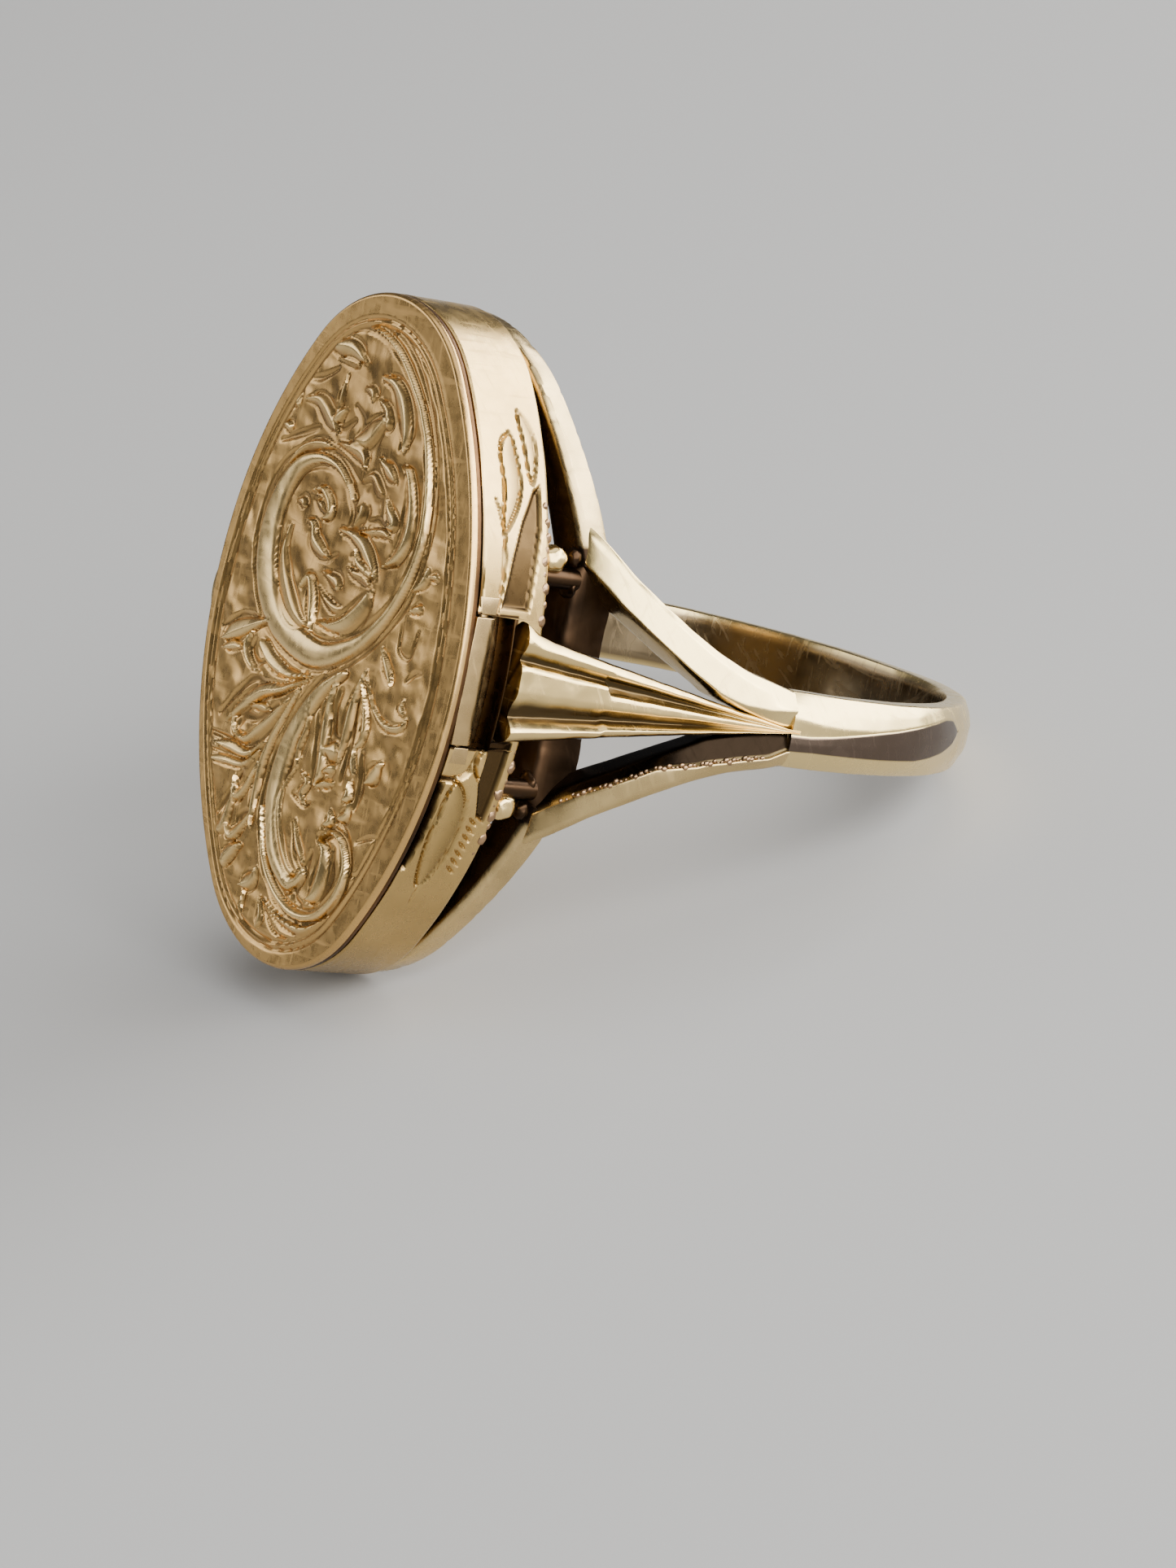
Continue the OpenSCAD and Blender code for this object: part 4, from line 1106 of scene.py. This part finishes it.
# Plain cuts: the places they run through, half-width and depth
CUTS = (
    ([(-3.7, 7.2), (-2.6, 8.55), (-1.2, 9.1), (0.3, 8.95), (1.6, 8.2), (2.7, 6.9), (3.4, 5.5),
      (3.75, 4.0), (3.7, 2.6), (3.2, 1.3), (2.3, 0.2), (1.2, -0.7), (0.2, -1.3)], 0.1, 0.1),
    ([(-0.3, -0.95), (-1.7, -1.1), (-3.2, -0.5), (-4.2, 0.7), (-4.6, 2.2), (-4.3, 3.8), (-3.5, 4.7),
      (-2.4, 5.0), (-1.2, 5.0), (-0.2, 4.5)], 0.11, 0.12),
    ([(-0.5, 4.0), (-0.1, 3.5), (-0.3, 2.8)], 0.12, 0.1),
    ([(-1.7, 2.0), (-1.0, 1.95), (-0.5, 2.2)], 0.1, 0.1),
    ([(-2.1, 3.5), (-1.8, 3.3), (-1.45, 3.15)], 0.13, 0.11),
    ([(0.2, 2.3), (0.6, 2.4), (1.2, 2.05)], 0.14, 0.1),
    ([(0.7, 3.4), (1.2, 3.5), (1.6, 3.3)], 0.16, 0.1),
    ([(0.3, 4.2), (0.8, 4.5), (1.1, 4.0)], 0.12, 0.08),
    ([(1.2, 6.8), (1.5, 6.3), (1.5, 5.7)], 0.12, 0.08),
    ([(-2.2, 7.88), (-1.7, 7.9), (-1.1, 7.8)], 0.09, 0.09),
    ([(-3.8, 6.9), (-3.0, 7.0), (-2.2, 7.4)], 0.14, 0.06),
    ([(-2.1, 5.7), (-1.4, 5.75), (-0.9, 6.1)], 0.14, 0.09),
    ([(-4.3, 4.9), (-3.3, 5.3), (-2.6, 5.6)], 0.14, 0.07),
    ([(-1.0, 6.5), (-0.6, 6.2), (-0.5, 5.7)], 0.14, 0.09),
    ([(-2.9, -1.5), (-3.3, -1.65), (-3.7, -1.4), (-3.6, -1.0)], 0.12, 0.12),
    ([(-5.4, -1.0), (-4.6, -0.5), (-3.9, -0.35)], 0.14, 0.08),
    ([(-1.2, -1.9), (-2.2, -2.35), (-3.2, -2.1), (-4.0, -2.7), (-4.7, -3.5)], 0.14, 0.1),
    ([(-1.9, -2.6), (-2.7, -3.2), (-3.4, -3.3), (-3.6, -3.6)], 0.16, 0.12),
    ([(-1.4, -2.6), (-2.3, -3.7), (-3.1, -4.1), (-4.2, -4.1), (-5.0, -4.1)], 0.12, 0.11),
    ([(-3.0, -4.5), (-3.9, -4.55), (-4.9, -4.6)], 0.1, 0.09),
    ([(-1.6, -3.3), (-2.2, -4.2), (-2.7, -5.2), (-2.8, -5.7)], 0.13, 0.11),
    ([(-3.0, -4.9), (-3.5, -5.8), (-4.0, -6.5)], 0.16, 0.09),
    ([(-2.3, -5.9), (-2.7, -6.2), (-2.5, -6.7)], 0.13, 0.09),
    ([(0.3, -1.0), (-0.6, -2.0), (-1.2, -3.2), (-1.65, -4.7), (-1.65, -5.9), (-1.2, -7.0), (-0.4, -7.9),
      (0.8, -8.4), (2.0, -8.2), (2.9, -7.4), (3.2, -6.4), (2.8, -5.5), (2.1, -5.15),
      (1.5, -5.5)], 0.1, 0.12),
    ([(0.2, -2.2), (0.35, -3.0), (0.5, -3.9), (0.5, -4.4)], 0.14, 0.08),
    ([(1.1, -1.5), (1.0, -2.2), (1.1, -2.8), (1.5, -2.9)], 0.2, 0.08),
    ([(1.9, -2.0), (2.0, -3.0), (1.9, -4.0)], 0.16, 0.1),
    ([(2.7, -3.0), (2.9, -3.9), (2.8, -4.6)], 0.16, 0.09),
    ([(-0.3, -4.9), (0.3, -5.1), (0.6, -5.0)], 0.08, 0.1),
    ([(1.2, -6.3), (1.0, -7.0), (0.8, -7.7), (1.2, -7.9)], 0.16, 0.13),
    ([(2.2, -6.0), (2.35, -6.8), (2.0, -7.6)], 0.16, 0.12),
    ([(0.0, -5.7), (0.5, -6.6), (1.1, -7.0)], 0.12, 0.07),
    ([(0.3, -8.6), (0.8, -8.75), (1.2, -8.8)], 0.2, 0.05),
    ([(-0.5, -8.5), (0.3, -9.0), (1.6, -8.8), (2.9, -8.0), (3.9, -6.8)], 0.08, 0.09),
    ([(4.0, -0.6), (4.3, -0.3), (4.6, -0.2)], 0.12, 0.06),
    ([(3.3, 0.9), (3.4, 0.2), (3.9, 0.1), (4.1, 0.9)], 0.1, 0.06),
    ([(3.2, -5.5), (3.9, -5.2), (4.5, -5.3)], 0.1, 0.05),
    ([(3.0, -6.6), (3.7, -6.4), (4.2, -6.7)], 0.1, 0.05),
)

# How much deeper, wider and higher than the tables say the cuts and the leaves are made
CUT_DEEPER, LEAF_WIDER, LEAF_HIGHER = 1.3, 1.1, 1.25
STEM_RISE, STEM_GROOVE = 0.13, 0.12

# Dents in the ground: how often they come along x and z, their layer of the noise and their height
DENTS = ((0.8, 0.8, 3.0, 0.06), (1.7, 1.7, 1.0, 0.035), (5.3, 4.1, 7.0, 0.004))

# The ground inside the upper scroll lies lower and is painted darker as shade: centre, then half-width and
# half-height
FIELD = (-0.2, 4.6, 3.3, 4.2)


def lid_scroll(x, z):
    """The scroll and its leaves, as heights over the lid's ground."""
    relief = Relief(x, z)
    for points, width, depth in CUTS:
        relief.cut(points, width, CUT_DEEPER * depth, blunt=0.3)
    for points, widths in STEMS:
        relief.stem(points, widths, STEM_RISE, STEM_GROOVE)
    for points, width, rise, *lean in LEAVES:
        relief.leaf(points, LEAF_WIDER * width, LEAF_HIGHER * rise, *lean)
    return relief.height


def lid_relief(x, z, field):
    """Everything cut into the lid's front, as heights over its ground."""
    inside = edge_distance(x - BORDER_SHIFT[0], z - BORDER_SHIFT[1])
    ground = np.clip((inside - BORDER_LINES[1]) / 0.15, 0, 1)
    rise = lid_scroll(x, z) * ground
    dents = np.array([sum(noise.noise(Vector((a * p, b * q, layer))) * high for p, q, layer, high in DENTS)
                      for a, b in zip(x, z)])
    rise += dents * ground * (1 - 0.6 * np.clip(rise / 0.05, 0, 1))
    rise -= 0.03 * field * ground
    for line in BORDER_LINES:
        rise -= 0.07 * np.clip(1 - np.abs(inside - line - 0.03 * np.sin(z * 0.9)) / 0.09, 0, 1)
    rise += 0.03 * np.clip(1 - np.abs(inside - 0.76) / 0.12, 0, 1)    # the strip between the lines
    return rise


def roll_edge(bm, steps=6):
    """Rolls the lid's open edge over to its side, and gives the edge that is left open."""
    normals, bearings, _ = oval_turns(LID_ROLL)
    shoulder = LID_FRONT - LID_GROUND / 2
    edges = [e for e in bm.edges if e.is_boundary]
    for step in range(1, steps + 1):
        turn = step / steps * math.pi / 2
        edges, verts = extruded(bm, edges)
        for vert in verts:
            near = np.interp(math.atan2(vert.co.z, vert.co.x) % (2 * math.pi), bearings, normals)
            px, pz = oval_point(np.array([near]), LID_ROLL * (1 - math.sin(turn)))
            vert.co = (px[0], -(shoulder - (shoulder - LID_BACK - 0.04) * (1 - math.cos(turn))), pz[0])
    return edges


def engraved_lid():
    """The lid's plate with its engraving, its rolled edge and its flat back."""
    bm, x, z, _ = oval_grid(233, 365, LID_ROLL)
    field = np.clip((1.1 - np.hypot((x - FIELD[0]) / FIELD[2], (z - FIELD[1]) / FIELD[3])) / 0.2, 0, 1)
    rise = lid_relief(x, z, field)
    border = np.clip((BORDER_LINES[0] - edge_distance(x, z)) / BORDER_LINES[0], 0, 1)
    front = LID_FRONT - LID_GROUND * (1 - 0.5 * border)
    rise = np.maximum(rise, LID_BACK + 0.1 - front)      # no cut goes through the plate
    for vert, px, pz, h, top in zip(bm.verts, x, z, rise, front):
        vert.co = (px, -(top + h), pz)
    close_flat(bm, roll_edge(bm), LID_BACK)
    # Painted light: the cuts are painted dark as shade, the lowered ground in the upper scroll a little
    # dark as shade, and what stands up is painted with a highlight
    painted_shade, painted_highlight = np.zeros(len(bm.verts)), np.zeros(len(bm.verts))
    painted_shade[:len(rise)] = np.maximum(np.clip((-rise - 0.035) / 0.07, 0, 1), 0.35 * field * (rise < 0.03))
    painted_highlight[:len(rise)] = np.clip((rise - 0.03) / 0.06, 0, 1)
    obj = piece(bm, "lid_plate_engraved", ENGRAVED_GOLD, "lid", ("lid_plate",), 60)
    paint(obj, "painted_shade", painted_shade)
    paint(obj, "painted_highlight", painted_highlight)


# ---------------------------------------------------------------- all the pieces

engraved_lid()
case_wall()
shank()
for on_hinge_side in (True, False):
    shoulder_fan(on_hinge_side)
    gallery_bridge(on_hinge_side)
    for is_upper in (True, False):
        shoulder_arm(is_upper, on_hinge_side)
for is_upper in (True, False):
    gallery_arch(is_upper)
gallery_pegs()
solder_lumps()
for on_hinge_side in (True, False):
    arm_solder(on_hinge_side)
picture()
picture_bezel()
for row in SOFTENED:
    softened(*row)


# ---------------------------------------------------------------- floor, light and camera


def studio_floor():
    """A wide pale floor under the ring."""
    bm = bmesh.new()
    bmesh.ops.create_grid(bm, x_segments=1, y_segments=1, size=1.2)
    mesh = bpy.data.meshes.new("floor")
    bm.to_mesh(mesh)
    bm.free()
    material, _, shader = finish("pale_floor")
    shader["Base Color"].default_value = (0.36, 0.355, 0.345, 1)
    shader["Roughness"].default_value = 0.85
    mesh.materials.append(material)
    floor = bpy.data.objects.new("floor", mesh)
    floor.location.z = CAD_BOX[0][2]
    bpy.context.scene.collection.objects.link(floor)


def soft_light(name, at, size, power):
    """A white panel that faces the ring."""
    light = bpy.data.lights.new(name, "AREA")
    light.shape = "RECTANGLE"
    light.size, light.size_y = size
    light.energy = power
    lamp = bpy.data.objects.new(name, light)
    middle = (Vector(CAD_BOX[0]) + Vector(CAD_BOX[1])) / 2
    lamp.location = Vector(at)
    lamp.rotation_euler = (middle - lamp.location).to_track_quat("-Z", "Y").to_euler()
    bpy.context.scene.collection.objects.link(lamp)


def studio_world():
    """Dim, slightly cool light from all round."""
    world = bpy.data.worlds.new("studio")
    world.use_nodes = True
    light = world.node_tree.nodes["Background"].inputs
    light["Color"].default_value = (0.4, 0.4, 0.41, 1)
    light["Strength"].default_value = 0.32
    bpy.context.scene.world = world


VIEW_AZIMUTH = math.radians(50.65)
VIEW_HEIGHT = math.radians(8.15)
VIEW_ROLL = math.radians(11.88)
VIEW_FROM = Vector((121.20, -101.39, 18.68))
VIEW_LENS = 119.56409        # focal length, on a film 36 mm wide


def camera():
    """The view, set up round the upright ring and laid down with it."""
    back = Vector((math.sin(VIEW_AZIMUTH) * math.cos(VIEW_HEIGHT),
                   -math.cos(VIEW_AZIMUTH) * math.cos(VIEW_HEIGHT), math.sin(VIEW_HEIGHT)))
    right = Vector((math.cos(VIEW_AZIMUTH), math.sin(VIEW_AZIMUTH), 0))
    up = back.cross(right)
    c, s = math.cos(VIEW_ROLL), math.sin(VIEW_ROLL)
    right, up = c * right + s * up, c * up - s * right
    turn = LAY_DOWN.to_3x3().normalized()
    axes = Matrix([turn @ right, turn @ up, turn @ back]).transposed()
    lens = bpy.data.cameras.new("view")
    lens.sensor_width = 36
    lens.lens = VIEW_LENS
    lens.clip_start = 0.001
    view = bpy.data.objects.new("view", lens)
    view.matrix_world = Matrix.Translation(LAY_DOWN @ VIEW_FROM) @ axes.to_4x4()
    bpy.context.scene.collection.objects.link(view)
    bpy.context.scene.camera = view


# Where each panel stands, its width and height, and its power
LIGHTS = (
    ("overhead", (0.02, 0.08, 0.32), (0.3, 0.25), 0.4),
    ("behind", (0.13, 0.34, 0.13), (0.6, 0.24), 4.6),
    ("side", (0.38, 0.0, 0.2), (0.5, 0.36), 4.6),
    ("front", (-0.32, -0.3, 0.26), (0.4, 0.3), 0.8),
)

studio_floor()
for panel in LIGHTS:
    soft_light(*panel)
studio_world()
camera()
